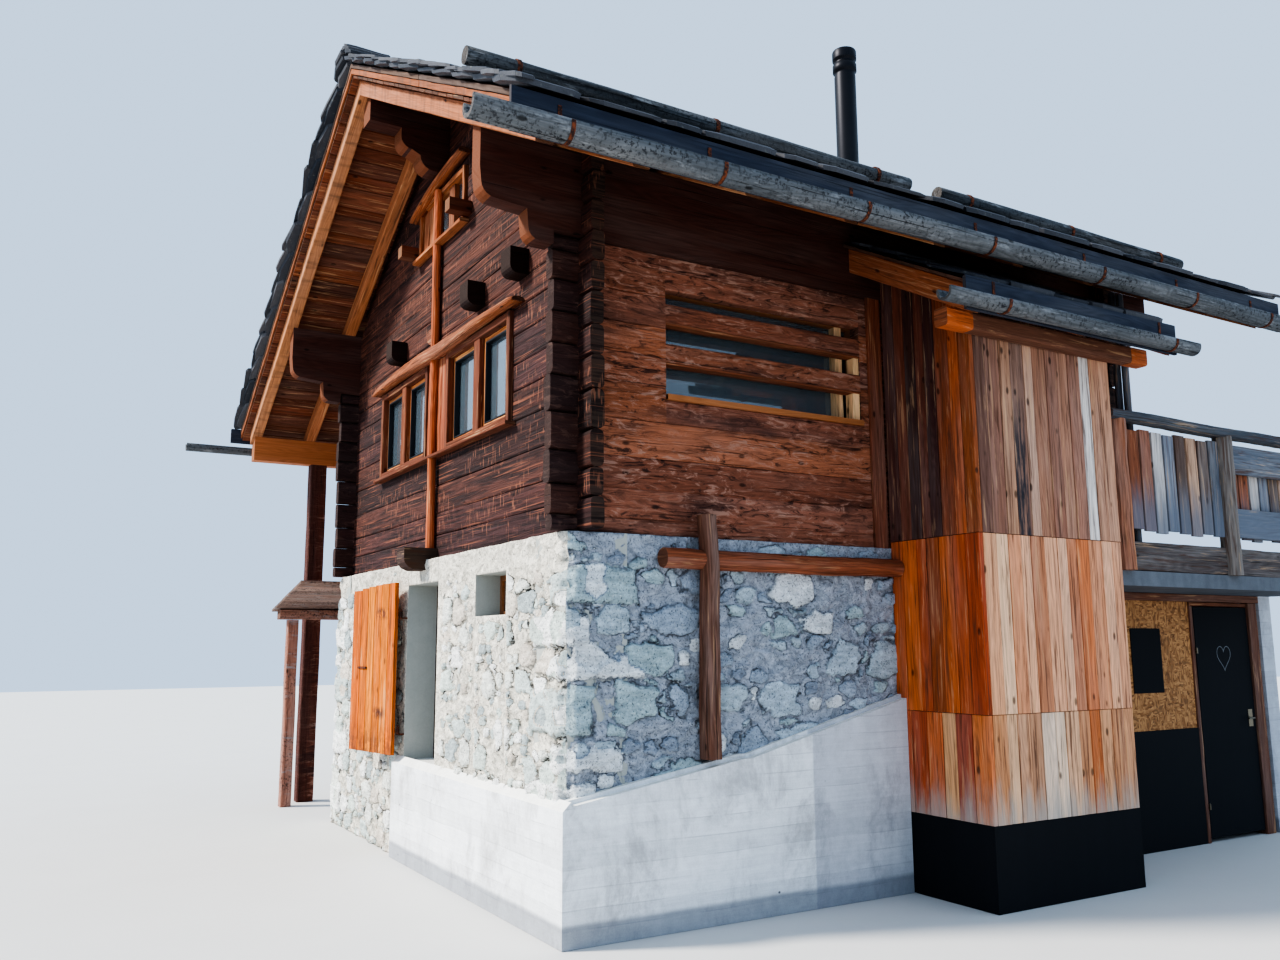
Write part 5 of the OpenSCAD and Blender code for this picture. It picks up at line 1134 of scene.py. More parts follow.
# %% sweep(): a closed profile along a path
def sweep(profile, path, side, rise, dye, tone=0.5, waves=0.0, seed=3):
    """Point = path(t) + side(t) s + rise(t) r, where (s, r) is the profile scaled by 1 + waves times
    a smooth noise of the turn and the length."""
    profile, path = np.asarray(profile, float), np.asarray(path, float)
    m, n = len(path), len(profile)
    side, rise = np.broadcast_to(side, (m, 3)), np.broadcast_to(rise, (m, 3))
    length = np.concatenate([[0], np.cumsum(np.linalg.norm(np.diff(path, axis=0), axis=1))])[:, None]
    turn = np.arctan2(profile[:, 1], profile[:, 0])
    scale = 1 + waves * 2 * layered(length * 1.1 + 0 * turn, np.cos(turn)[None] * 1.5 + 2 + 0 * length, seed)
    shape = profile[None] * scale[..., None]
    points = path[:, None] + shape[..., :1] * side[:, None] + shape[..., 1:] * rise[:, None]
    v = np.concatenate([[0], np.cumsum(np.linalg.norm(np.roll(profile, -1, 0) - profile, axis=1))])
    flat = np.zeros((m - 1, n))
    coords = squares(length[:-1] + flat, length[1:] + flat, v[:-1] + flat, v[1:] + flat).reshape(-1, 4, 2)
    (quads, (caps,)), cap_coords = tube(1, m, n), np.stack([profile[::-1], profile])
    quads = quads.reshape(-1, 4)
    area = np.sum(profile[:, 0] * np.roll(profile[:, 1], -1) - np.roll(profile[:, 0], -1) * profile[:, 1])
    if (np.dot(np.cross(side[0], rise[0]), path[1] - path[0]) > 0) != (area > 0):
        quads, coords, caps, cap_coords = [table[:, ::-1] for table in (quads, coords, caps, cap_coords)]
    return points, [(quads, coords, rows(len(quads), tone, 0, dye)), (caps, cap_coords, rows(2, tone, 1, dye))]


def arc(first, last, count, radius=1.0):
    """Points of a circle between two angles in degrees."""
    angle = np.radians(np.linspace(first, last, count))
    return np.stack([np.cos(angle), np.sin(angle)], 1) * radius


def square_to(path, axis):
    """The directions square to a path and to an axis."""
    ahead = np.gradient(path, axis=0)
    return np.cross(ahead / np.linalg.norm(ahead, axis=1)[:, None], axis)


def trough(radius):
    """The log's outline below, then back along a trough whose radius is 0.7 of the log's."""
    rim = radius * 0.96
    return np.concatenate([[(-rim * 0.99, radius * 0.3)], arc(180, 360, 15, radius),
                           [(rim * 0.99, radius * 0.3), (radius * 0.72, radius * 0.31)],
                           arc(360, 180, 9, radius * 0.7), [(-radius * 0.72, radius * 0.31)]])


GUTTERS = [(1.199, 4.5627, 0.083, -1.18, 6.83), (-7.354, 4.1692, 0.068, -1.38, 6.83),
           (1.294, 4.0954, 0.068, 2.12, 4.88)]
gutters = []
for i, (x, z, r, y0, y1) in enumerate(GUTTERS):
    path = np.stack([np.full(40, x), np.linspace(y0, y1, 40), np.full(40, z)], 1)
    gutters.append(sweep(trough(r * 0.985), path, X, Z, paint(88, 91, 94), 0.2 + 0.3 * i, 0.012, i))
make("gutter_logs", grey_wood, "gutter_log", ("gutters",), *gutters, smooth=True)

# %% Iron straps: down from the fascia, round the gutter's underside in a half circle, and up again
flat_bar = np.array([(-0.0026, -0.012), (0.0026, -0.012), (0.0026, 0.012), (-0.0026, 0.012)])


def strap(x, z, r, y, slope):
    lead = [(-r - 0.005, 0.18), (-r - 0.005, r * 0.5), (-r - 0.006, r * 0.2)]
    curve = np.concatenate([lead, arc(180, 372, 20, r + 0.0030)])
    path = np.stack([x + slope * curve[:, 0], np.full(len(curve), y), z + curve[:, 1]], 1)
    return sweep(flat_bar, path, square_to(path, Y), Y, paint(110, 66, 48))


hook_ys = [-0.61, 0.39, 1.51, 2.67, 3.86, 5.03, 6.10]
make("gutter_straps", rust, "iron", ("gutter_hooks",), *[
    strap(*GUTTERS[i][:3], y, slope)
    for i, slope, ys in ((0, 1, hook_ys), (1, -1, hook_ys), (2, 1, (2.69, 4.57))) for y in ys])

# %% Snow logs with their iron bands
snow, bands = [], []
snow_z = rafter_z(0.25) + 0.29 + 0.085 + 0.075
for i, (y0, y1) in enumerate(((-0.85, 2.9), (3.23, 6.5))):
    snow.append(timbers((0.25, y0, snow_z), (0.25, y1, snow_z), X * 0.118, Z * 0.118, paint(62, 66, 70),
                        corner=0.06, arcs=4, rings=24, seed=i + 3))
    for y in np.linspace(y0 + 0.35, y1 - 0.35, 3):
        ring = np.concatenate([[(0.05, -0.14)], arc(-60, 240, 22, 0.0635), [(-0.05, -0.12)]])
        path = np.stack([0.25 + ring[:, 0], np.full(len(ring), y), snow_z + ring[:, 1]], 1)
        bands.append(sweep(flat_bar * 1.25, path, square_to(path, Y), Y, paint(70, 60, 56)))
make("snow_guard_logs", grey_wood, "timber_grey", ("snow_logs",), *snow, smooth=True)
make("snow_guard_bands", rust, "iron", (), *bands)

# %% Flue: a profile turned round its axis
def turned(profile, x, y, sides=28):
    """Point = (x + r cos w, y + r sin w, z) for each (r, z) of the profile."""
    profile = np.asarray(profile, float)
    w = np.linspace(0, 2 * np.pi, sides, endpoint=False)
    radius, level = profile[:, :1], profile[:, 1:]
    points = np.stack([x + radius * np.cos(w), y + radius * np.sin(w), level + 0 * w], -1)
    quads, (caps,) = tube(1, len(profile), sides)
    flat = points[..., :2].reshape(-1, 2)
    return points, [(corners_of, flat[corners_of], rows(len(corners_of), 0.5, end, 0.1))
                    for corners_of, end in ((quads.reshape(-1, 4), 0), (caps, 1))]


make("flue_pipe", flue_metal, "flue_metal", ("flue",), turned([
    (0.1, 5.90), (0.128, 5.96), (0.128, 5.985), (0.1, 6.01), (0.1, 7.12), (0.095, 7.14), (0.097, 7.16),
    (0.112, 7.172), (0.112, 7.238), (0.095, 7.255), (0.095, 7.275), (0.112, 7.288), (0.114, 7.30),
    (0.114, 7.37), (0.108, 7.382), (0.06, 7.394), (0.015, 7.398)], -1.0, 3.43), smooth=True)


# %% [markdown]
# ## Gable windows
# Four sashes in two frames, with a boarded panel between them, under one long split log. The
# frames are new orange wood. Each bar is its own timber, so the joints show, and a dark seal
# runs round every pane.

# %% Frames, sashes and the boarded panel
FRESH = [(206, 132, 74), (190, 114, 60), (218, 150, 92), (176, 104, 56)]
OLD_FRAME = [(112, 58, 34), (92, 48, 30), (132, 72, 42)]


def frame_bars(x0, x1, y0, y1, z0, z1, bar):
    """Two jambs and two rails round an opening in a wall along X, as boxes."""
    return ([[(x0, y0, z0), (x0 + bar, y1, z1)], [(x1 - bar, y0, z0), (x1, y1, z1)]],
            [[(x0 + bar, y0, z0), (x1 - bar, y1, z0 + bar)], [(x0 + bar, y0, z1 - bar), (x1 - bar, y1, z1)]])


low, high = SEAMS[4], SEAMS[8]
frames, sashes, seals = ([], []), ([], []), ([], [])
for x0 in (-4.33, -2.48):
    x1, mid = x0 + 1.37, x0 + 0.685
    jobs = [(frames, (x0, x1, 0.065, 0.2, low, high, 0.06))]
    frames[0].append([(mid - 0.06, 0.075, low + 0.06), (mid + 0.06, 0.16, high - 0.06)])
    for s0, s1 in ((x0 + 0.06, mid - 0.06), (mid + 0.06, x1 - 0.06)):
        jobs += [(sashes, (s0, s1, 0.12, 0.16, low + 0.06, high - 0.06, 0.045)),
                 (seals, (s0 + 0.037, s1 - 0.037, 0.114, 0.1605, low + 0.097, high - 0.097, 0.014))]
    for kind, span in jobs:
        for boxes, more in zip(kind, frame_bars(*span)):
            boxes.extend(more)
frames[1].append([(-4.37, 0.015, low - 0.028), (-1.05, 0.1, low)])
panel_boards = [[(-2.96 + 0.16 * i + 0.002, 0.08 + 0.003 * i, low), (-2.80 + 0.16 * i - 0.002, 0.2, high)]
                for i in range(3)]
make("gable_window_frames", fresh_timber, "timber_fresh", ("gable_windows",), *[
    beams(boxes, tints(len(boxes), *shades, seed=seed + axis), axis, seed=seed, corner=0.005, rings=9,
          bow=0.0015, rough=0.0008)
    for kind, shades, seed in ((frames, OLD_FRAME, 3), (sashes, FRESH, 6))
    for axis, boxes in zip((2, 0), kind)],
    beams(panel_boards, tints(3, (134, 68, 42), (150, 80, 48), seed=8), 2, seed=5, corner=0.004, rings=8))
make("pane_seals", mineral("seal_black", (34, 36, 40), 0.15, 0.2, 0.0, 0.1, 0.5, 0.0004), "door_black", (),
     *[beams(boxes, 0.03, axis, corner=0.003, rings=3, **STILL) for axis, boxes in zip((2, 0), seals)])
dress(glass, "window_glass")

# %% [markdown]
# The split log over the windows and the bent one over the attic window are both natural edges:
# a half-round section whose height follows a curve along the piece.

# %% Lintel and hood: a section that grows and shrinks along its path
def bent_log(path, depth, heights, dye, seed):
    """Section = a flattened arch of eleven points, depth wide and as high as given at each ring."""
    profile = (arc(-20, 200, 11) + (0, 0.34)) / (1, 1.34)
    profile[:, 0] = np.sign(profile[:, 0]) * np.abs(profile[:, 0]) ** 0.6 / 2
    bumps = 1 + 0.3 * layered(np.linspace(0, 9, len(path)), np.full(len(path), 0.3), seed, 3)
    points, faces = sweep(profile, path, Y * depth, Z * (heights * bumps)[:, None], dye, 0.4, 0.07, seed)
    for _, coords, _ in faces:
        coords[..., 1] *= 0.12
    return points, faces


def along(count, x0, length, y, z_of):
    """Shares from 0 to 1, and a path along X whose height is a function of them."""
    t = np.linspace(0, 1, count)
    return t, np.stack([x0 + t * length, np.full(count, y), z_of(t)], 1)


split_wood = wood("split_wood", 0.9, 0.1, 0.5, 1.0, 0.012, extra=dirty)
t, path = along(30, -4.42, 3.52, 0.045, lambda t: 4.312 + 0.012 * np.sin(t * 9))
round_ends = np.clip(np.minimum(t, 1 - t) / 0.035, 0.25, 1) ** 0.5
swell = (0.036 + 0.072 * np.sin(t * np.pi) + 0.020 * np.sin(2 * t * np.pi)) * round_ends + 0.016
hood_t, hood_path = along(18, -3.37, 1.30, 0.04, lambda t: 5.80 + 0.19 * np.sin(t * 1.45) ** 0.8)
make("window_lintel", split_wood, "timber_fresh", ("gable_lintel",),
     bent_log(path, 0.108, swell, paint(140, 78, 44), 4),
     bent_log(hood_path, 0.11, 0.045 + 0.02 * np.sin(hood_t * np.pi), paint(150, 84, 48), 9), smooth=True)

# %% Attic window
upright, lying = frame_bars(-3.30, -2.14, 0.065, 0.2, 5.41, 5.91, 0.045)
upright += [[(-2.59, 0.1, 5.455), (-2.46, 0.15, 5.865)]]
upright += [[(-3.255 + 0.132 * i + 0.002, 0.1 + 0.004 * i, 5.455), (-3.123 + 0.132 * i - 0.002, 0.15, 5.865)]
            for i in range(3)]
lying += [[(-3.34, 0.02, 5.375), (-2.10, 0.1, 5.41)]]
make("attic_window_frame", fresh_timber, "timber_fresh", ("attic_window",),
     beams(upright, tints(len(upright), (134, 76, 48), (160, 98, 60), (116, 66, 44), seed=2), 2, seed=14,
           corner=0.004, rings=6),
     beams(lying, tints(len(lying), (146, 82, 48), (170, 102, 60), seed=5), 0, seed=15, corner=0.004, rings=8))

# %% Pole before the gable, on a carved beam end, with a quarter-round bracket at its head
z = np.linspace(2.62, 5.90, 40)
path = np.stack([-2.75 + 0.006 * np.sin(z * 2.3), 0.058 + 0.004 * np.sin(z * 3.1), z], 1)
corbel = [(0.1, STONE_TOP), (0.1, 2.62), (-0.198, 2.62), (-0.2, 2.525), (-0.19, 2.49), (-0.16, 2.455),
          (-0.11, 2.432), (0.0, 2.432), (0, STONE_TOP)]
bracket = np.concatenate([[(-2.792, 4.61)], arc(180, 270, 7, 0.15) + (-2.792, 4.61)])
make("gable_pole", wood("pole_wood", 0.6, 0.05, 0.4, 0.8, 0.005, extra=dirty), "log_red", ("centre_pole",),
     sweep(arc(0, 360, 13, 0.038)[:-1], path, X, Y, paint(168, 88, 50), 0.3, 0.08, 8),
     sweep(corbel, [(-2.85, 0, 0), (-2.75, 0, 0), (-2.65, 0, 0)], Y, Z, paint(58, 38, 32), 0.7),
     sweep(bracket, [(0, 0.04, 0), (0, 0.1, 0)], X, Z, paint(140, 70, 44)))


def brown_above(tree, colour):
    """The two bearers by the attic window are brown, and the beam ends below them black."""
    share = place(tree)[2] > 5.2
    return mixed(1.0, colour, mixed(share, (0.42, 0.3, 0.26, 1), (3.0, 2.2, 1.5, 1)), "MULTIPLY"), 0.0


dress(wood("beam_end_black", 0.5, 0.05, 0.3, 0.9, 0.004, axis=1, dye=(54, 30, 22), extra=brown_above),
      "beam_stubs")
dress(wood("carried_fresh", 0.35, 0.06, 0.3, 0.4, 0.002, axis=1, dye=(160, 102, 62)),
      "side_window", "cellar_window")

# %% Side window: pale strips inside the three slots
strips = [[(-0.139, SLOT_Y[0], z1 - 0.016), (-0.038, SLOT_Y[1], z1)] for _, z1 in SLOTS[:2]]
strips += [[(-0.139, 0.79, 3.474), (-0.018, 2.60, 3.506)]]
stops = [[(-0.215, 2.43, 3.47), (-0.142, 2.50, 4.275)], [(-0.139, 2.52, 3.506), (-0.05, 2.588, 3.73)],
         [(-0.139, 2.535, 3.882), (-0.05, 2.588, 4.015)]]
make("side_window_strips", fresh_timber, "timber_fresh", (),
     beams(strips, paint((124, 70, 46), (130, 76, 50), (176, 116, 76)), 1, seed=3, corner=0.004, rings=10,
           bow=0.001),
     beams(stops, tints(3, (222, 178, 130), (230, 190, 146), seed=6), 2, seed=5, corner=0.004, rings=4, bow=0))

# %% [markdown]
# ## The cross before the side wall
# A squared post with rounded corners and a round log lapped through it. Both are a little bent,
# so the sway of the rings is larger here.

# %% Cross
post_wood = wood("post_wood", 0.7, 0.25, 0.6, 1.0, 0.008, extra=dirty)
make("cross_post_timber", post_wood, "log_red", ("cross_post",), timbers(
    (0.095, 1.035, 1.045), (0.092, 1.030, 2.668), X * 0.128, Y * 0.122, paint(112, 74, 58), corner=0.032,
    arcs=3, rings=26, bow=0.010, rough=0.0016, taper=0.10, seed=5))
make("cross_beam_log", post_wood, "log_red", ("cross_beam",), timbers(
    (0.071, 0.681, 2.36), (0.071, 2.80, 2.36), X * 0.136, Z * 0.136, paint(138, 78, 52), corner=0.068, arcs=4,
    rings=30, bow=0.005, rough=0.0022, seed=12))

# %% [markdown]
# ## Doors
# The plank door stands open against the wall. It is built closed, in its own directions, and then turned about
# its hinge pin. Its boards are as long as the curved top allows. It rides on its own body.

# %% Plank door
PIN, swing = np.array([-3.110, -0.062, 0.0]), math.radians(-170)
leaf_along = np.array([math.cos(swing), math.sin(swing), 0.0])
leaf_out = np.array([-math.sin(swing), math.cos(swing), 0.0])
at_leaf = lambda x, y, z: PIN + leaf_along * x + leaf_out * y + Z * z
LEAF_FOOT, LEAF_WIDTH, LEAF_HIGH, LEAF_DROP = 0.862, 0.82, 1.49, 0.055
edges = np.array([0.005, 0.128, 0.262, 0.39, 0.524, 0.655, 0.825])
leaf_shades = (196, 98, 20), (206, 116, 26), (198, 106, 20), (210, 122, 30), (194, 100, 18), (190, 92, 18)
planks = []
for i, shade in enumerate(leaf_shades):
    x = (edges[i] + edges[i + 1]) / 2
    top = LEAF_FOOT + LEAF_HIGH - LEAF_DROP * ((x - 0.005) / LEAF_WIDTH) ** 2 - 0.006
    planks.append(timbers(at_leaf(x, 0.0375, 0.863), at_leaf(x, 0.0375, top),
                          leaf_along * (edges[i + 1] - edges[i] - 0.005), leaf_out * 0.0345, paint(*shade),
                          corner=0.003, rings=12, bow=0.0, rough=0.0004, seed=i + 3))


def door_stain(tree, colour):
    """Brown streaks along the boards, blots low down, and a rusty smudge round each strap's nails."""
    spot = place(tree)
    streak = steps(noise(spot * (46, 46, 2.4), 1.0, 4, 0.7), 0.46, 0.62, 0, 0.55)
    colour = mixed(streak, colour, (0.36, 0.105, 0.018, 1))
    low = steps(spot[2], 1.2, 0.9, 0.1, 0.6)
    across = steps(abs(spot[0] + 3.35), 0.17, 0.03)
    for high in (1.21, 2.08):
        low = maths("MAXIMUM", low, steps(abs(spot[2] - high), 0.08, 0.01) * across)
    blot = steps(noise(spot * (24, 24, 12), 1.0, 4, 0.7), 0.42, 0.52)
    return dirty(tree, mixed(low * blot, colour, (0.1, 0.03, 0.018, 1)))


make("plank_door_boards", wood("door_wood", 0.9, 0.0, 0.8, 0.9, 0.004, extra=door_stain), "door_brown",
     ("plank_door",), *planks, body="plank_leaf")
irons = []
for z in (1.042, 2.042):
    knuckle = [(0.0085, z), (0.014, z), (0.014, z + 0.06), (0.0085, z + 0.06)]
    irons += [turned(knuckle, PIN[0], PIN[1], 16),
              timbers(at_leaf(0.012, 0.017, z + 0.03), at_leaf(0.52, 0.017, z + 0.03), Z * 0.04,
                      leaf_out * 0.0058, paint(70, 62, 60), corner=0.002, rings=6, bow=0, rough=0.0003,
                      taper=0.25)]
make("plank_door_irons", rust, "iron", (), *irons,
     timbers(at_leaf(0.510, 0.064, 1.60), at_leaf(0.670, 0.064, 1.60), Z * 0.02, leaf_out * 0.012,
             paint(80, 76, 74), corner=0.005, arcs=3, rings=6, **STILL),
     timbers(*[[at_leaf(x, y, 1.60) for x in (0.525, 0.655)] for y in (0.054, 0.062)], Z * 0.012,
             leaf_along * 0.012, paint(80, 76, 74), corner=0.004, rings=3, **STILL), body="plank_leaf")
dress(rust, "door_pintles")

# %% Inner door, with its dark pane
dress(wood("door_dark", 0.4, 0.05, 0.2, 0.4, 0.002, axis=2, dye=(58, 42, 36)), "inner_door_frame", "inner_door")
make("inner_door_pane", glass, "glass", (), beam((-2.944, 0.2875, 0.942), (-2.501, 0.2965, 2.148), 0.1, 2,
                                                 corner=0.002, rings=3, **STILL), body="inner_leaf")

# %% [markdown]
# ## The boarded annex
# Upright boards in three tiers, each a little over the one below. No two boards have aged alike,
# so every board has a colour of its own from the list, and the group's grey and knots do the rest.
# Splashed rain has bleached the feet of the lowest tier.

# %% Boards, tier by tier
def bleached_feet(tree, colour):
    """Grey-white rising from the foot of the boards, with a ragged upper edge, and one black stain
    on the foot of a board in the top tier."""
    spot = place(tree)
    ragged = noise(spot * (14, 14, 2), 1.0, 4, 0.7) * 0.7 + spot[2]
    colour, rise = dirty(tree, colour)
    near = steps(abs(spot[1] - 3.29), 0.05, 0.075, 1, 0)
    tall = steps(ragged, 4.1, 3.5, 0, 0.9) * (spot[2] > 2.57)
    tall = tall * steps(noise(spot * (34, 34, 3), 1.0, 4, 0.7), 0.36, 0.56)
    colour = mixed(near * tall, colour, (0.022, 0.026, 0.036, 1))
    return mixed(steps(ragged, 1.22, 0.86, 0, 0.7), colour, (0.42, 0.39, 0.35, 1)), rise


annex_boards = wood("annex_boards", 0.5, 0.16, 0.5, 0.6, 0.003, extra=bleached_feet)
annex_z = lambda x: 4.69 - PITCH * x
ANNEX_DEEP, ANNEX_NEAR, ANNEX_FAR = 0.865, 2.81, 4.39
TIERS = [0.57, 1.305, 2.57, annex_z(0)]
FRONT_DYES = [
    [(196, 136, 94), (218, 172, 134), (200, 148, 112), (182, 134, 102), (220, 192, 168), (228, 196, 168),
     (216, 168, 132), (200, 136, 92), (188, 108, 62), (208, 152, 112), (192, 134, 96), (206, 148, 108)],
    [(222, 160, 118), (234, 188, 150), (210, 144, 106), (228, 170, 132), (188, 124, 88), (220, 162, 126),
     (226, 172, 136), (190, 120, 82), (202, 118, 72), (212, 144, 104), (228, 170, 132), (214, 154, 118)],
    [(112, 80, 68), (136, 94, 76), (172, 128, 100), (136, 102, 86), (188, 148, 124), (156, 110, 86),
     (146, 100, 80), (166, 120, 96), (160, 114, 94), (214, 204, 196), (180, 132, 104), (190, 140, 110)]]
SIDE_DYES = [
    [(186, 84, 38), (170, 74, 34), (196, 102, 54), (214, 158, 112), (162, 68, 34), (200, 110, 54)],
    [(190, 90, 36), (200, 100, 38), (178, 80, 34), (150, 76, 40), (186, 94, 44), (176, 82, 38), (164, 72, 36)],
    [(84, 46, 40), (116, 64, 46), (64, 38, 36), (106, 58, 44), (72, 42, 40), (136, 72, 44), (172, 88, 46),
     (146, 80, 46)]]


def board_row(start, end, dyes, seed, jitter, grain_seed, box):
    """Upright boards side by side. box(left, right, odd) gives the two corners of a board."""
    cuts = np.linspace(start, end, len(dyes) + 1)
    cuts[1:-1] += (np.random.default_rng(seed).random(len(dyes) - 1) - 0.5) * jitter
    boxes = [box(cuts[i] + 0.0025, cuts[i + 1] - 0.0025, i % 2) for i in range(len(dyes))]
    return beams(boxes, paint(*dyes), 2, seed=grain_seed, corner=0.003, rings=14, bow=0.0, rough=0.0005)


def cut_by_roof(points, faces, foot=TIERS[2]):
    """Board tops in the highest tier follow the annex roof: z is scaled from the tier's foot."""
    share = (points[..., 2] - foot) / (annex_z(0) - foot)
    points[..., 2] = foot + share * (annex_z(points[..., 0]) - foot)
    return points, faces


annex_side, annex_front, annex_back = [], [], []
for tier, (z0, z1) in enumerate(zip(TIERS, TIERS[1:]), 1):
    out, dyes = 0.004 * tier, SIDE_DYES[tier - 1]
    near = board_row(0.0, ANNEX_DEEP + out, dyes, tier + 10, 0.03, tier + 10, lambda a, b, odd: [
        (a, ANNEX_NEAR - out + 0.003 * odd, z0), (b, ANNEX_NEAR + 0.035, z1 - 0.004)])
    far = board_row(0.0, 0.83, dyes, tier + 30, 0.03, tier + 30, lambda a, b, odd: [
        (a, ANNEX_FAR - 0.035 + 0.003 * odd, z0), (b, ANNEX_FAR, z1 - 0.004)])
    annex_side.append(cut_by_roof(*near) if tier == 3 else near)
    annex_back.append(cut_by_roof(*far) if tier == 3 else far)
    top = z1 - 0.002 if tier < 3 else annex_z(ANNEX_DEEP + out)
    annex_front.append(board_row(
        2.845, ANNEX_FAR, FRONT_DYES[tier - 1], tier + 50, 0.035, 60 + tier,
        lambda a, b, odd: [(0.83, a, z0), (ANNEX_DEEP + out - 0.003 * odd, b, top - 0.002)]))
make("annex_side_boards", annex_boards, "boards", ("annex_sides",), *annex_side)
make("annex_back_boards", annex_boards, "boards", (), *annex_back)
make("cover_board_timber", annex_boards, "timber_fresh", ("cover_board",),
     beam((-0.04, 2.663, 2.52), (-0.01, 2.798, 4.52), paint(124, 68, 46), 2, corner=0.004, rings=18, bow=0.001,
          seed=3))
make("annex_front_boards", annex_boards, "boards", ("annex_front",), *annex_front)
base = {"corner": 0.003, "rings": 4, **STILL}
make("annex_base", black_paint, "door_black", (),
     beams([[(0.0, ANNEX_NEAR, 0.0), (ANNEX_DEEP, 2.845, 0.568)],
            [(0.0, 4.355, 0.0), (0.83, ANNEX_FAR, 0.568)]], 0.02, 0, **base),
     beam((0.83, 2.845, 0.0), (ANNEX_DEEP, ANNEX_FAR, 0.568), 0.02, 1, **base))

# %% Annex roof
def roof_sheet(x0, x1, y, length, z_of, pitch, gap, dyes, **shape):
    """Eight boards along Y on a small roof with the height z_of(x)."""
    cuts = np.linspace(x0, x1, 9)
    middle = (cuts[:-1] + cuts[1:]) / 2
    starts = np.stack([middle, np.full(8, y), z_of(middle)], 1)
    return timbers(starts, starts + Y * length, np.array([1, 0, pitch]) * (cuts[1] - cuts[0] + gap), Z * 0.026,
                   dyes, corner=0.004, **shape)


make("annex_roof_boards", soffit_wood, "boards", ("annex_roof",), roof_sheet(
    0.002, 1.188, 2.425, 2.35, lambda x: annex_z(x) + 0.2155, -PITCH, -0.003, tints(8, *SOFFIT, seed=9),
    rings=8, bow=0.001))
make("annex_slabs", slate, "slate", (), *slate_slope(1, 1.20, 2.43, 4.77, 0.232, 5, 0.0, annex_z, 0.3))
edge_z = annex_z(1.19) + 0.2003
make("annex_fascia", fascia_paint, "boards", (), beam(
    (1.19, 2.42, edge_z - 0.19), (1.218, 4.78, edge_z + 0.05), 0.05, 1, corner=0.003, rings=12, bow=0.001))
bearers = [timbers((0.001, y + 0.04, annex_z(0.0) + 0.1), (1.189, y + 0.04, annex_z(1.189) + 0.1), Y * 0.078,
                   Z * 0.196, paint(150, 84, 50), corner=0.005, rings=8, bow=0.002, seed=i)
           for i, y in enumerate((2.48, 3.60, 4.64))]
low = annex_z(1.002) - 0.14
bearers += [beam((0.878 + less, y0, low + less), (1.001 - less, y1, low + 0.135 - less), paint(*shade), 1,
                 corner=0.018, arcs=3, rings=12, bow=0.0, seed=7)
            for y0, y1, less, shade in ((2.46, 2.72, 0, (190, 100, 54)), (2.70, 4.54, 0.002, (112, 72, 54)),
                                        (4.52, 4.72, 0, (176, 96, 54)))]
make("annex_roof_timbers", fresh_timber, "timber_fresh", ("annex_rafters", "annex_purlin"), *bearers)

# %% [markdown]
# ## Terrace
# A concrete slab with a heavy weathered beam on its edge. Round posts stand against the beam and
# carry a split log as handrail. The boards between them are silver at the feet, where rain stays.

# %% Railing
def silver_feet(tree, colour):
    """Boards turn blue-grey towards their feet."""
    spot = place(tree)
    ragged = noise(spot * (18, 18, 2), 1.0, 4, 0.7) * 0.6 + spot[2]
    colour, rise = dirty(tree, colour)
    return mixed(steps(ragged, 3.5, 3.05, 0, 0.75), colour, (0.14, 0.16, 0.2, 1)), rise


make("terrace_edge_beam", wood("beam_weathered", 0.7, 0.3, 0.5, 1.0, 0.008, extra=dirty), "timber_grey",
     ("terrace_beam",), beam((0.682, 4.392, 2.362), (0.798, 7.758, 2.595), paint(84, 76, 74), 1, corner=0.012,
                             arcs=3, rings=40, bow=0.004, rough=0.002, seed=4))
post_finish = wood("railing_log", 0.6, 0.3, 0.5, 1.0, 0.006, extra=dirty)
make("railing_posts", post_finish, "timber_grey", ("railing",),
     timbers(*[[(0.803, y, z) for y in (4.53, 6.0, 7.47)] for z in (2.358, 3.572)], X * 0.155, Y * 0.158,
             paint((150, 92, 62), (118, 110, 104), (126, 108, 96)), corner=0.077, arcs=4, rings=18, bow=0.006,
             rough=0.002, seed=2),
     timbers((0.812, 4.392, 3.606), (0.812, 7.758, 3.606), X * 0.15, Z * 0.082, paint(70, 76, 84), corner=0.03,
             arcs=3, rings=44, bow=0.005, rough=0.002, seed=8))
pales, battens = [], []
for b, front in enumerate((0.826, 0.770)):
    y0, y1 = 4.63 + b * 1.47, 5.90 + b * 1.47
    width = (y1 - y0) / 8
    pales += [[(front - 0.026, y0 + i * width + 0.011, 2.695 - 0.012 * ((i * 7) % 3)),
               (front, y0 + (i + 1) * width - 0.011, 3.50 + 0.008 * ((i * 5) % 3))] for i in range(8)]
    battens += [[(0.7705, y0 - 0.1, z), (0.7995, y1 + 0.1, z + 0.07)] for z in (2.76, 3.32)]
planks = [[(0.801, 6.0705, z), (0.835, 7.3995, z + 0.254)] for z in (2.69, 3.25)]
pale_dyes = [(130, 76, 50), (142, 84, 58), (190, 184, 180), (116, 122, 134), (94, 76, 68), (180, 144, 118),
             (100, 82, 74), (80, 86, 96)] * 2
make("railing_boards", wood("pale_boards", 0.5, 0.3, 0.4, 0.7, 0.003, extra=silver_feet), "timber_grey", (),
     beams(pales, paint(*pale_dyes), 2, seed=3, corner=0.003, rings=8, bow=0.001, rough=0.0008),
     beams(battens, tints(4, (96, 88, 84), (78, 78, 80), seed=2), 1, seed=4, corner=0.004, rings=14, bow=0.001),
     beams(planks, tints(2, (118, 124, 134), (98, 104, 114), seed=5), 1, seed=9, corner=0.005, rings=14,
           bow=0.002))

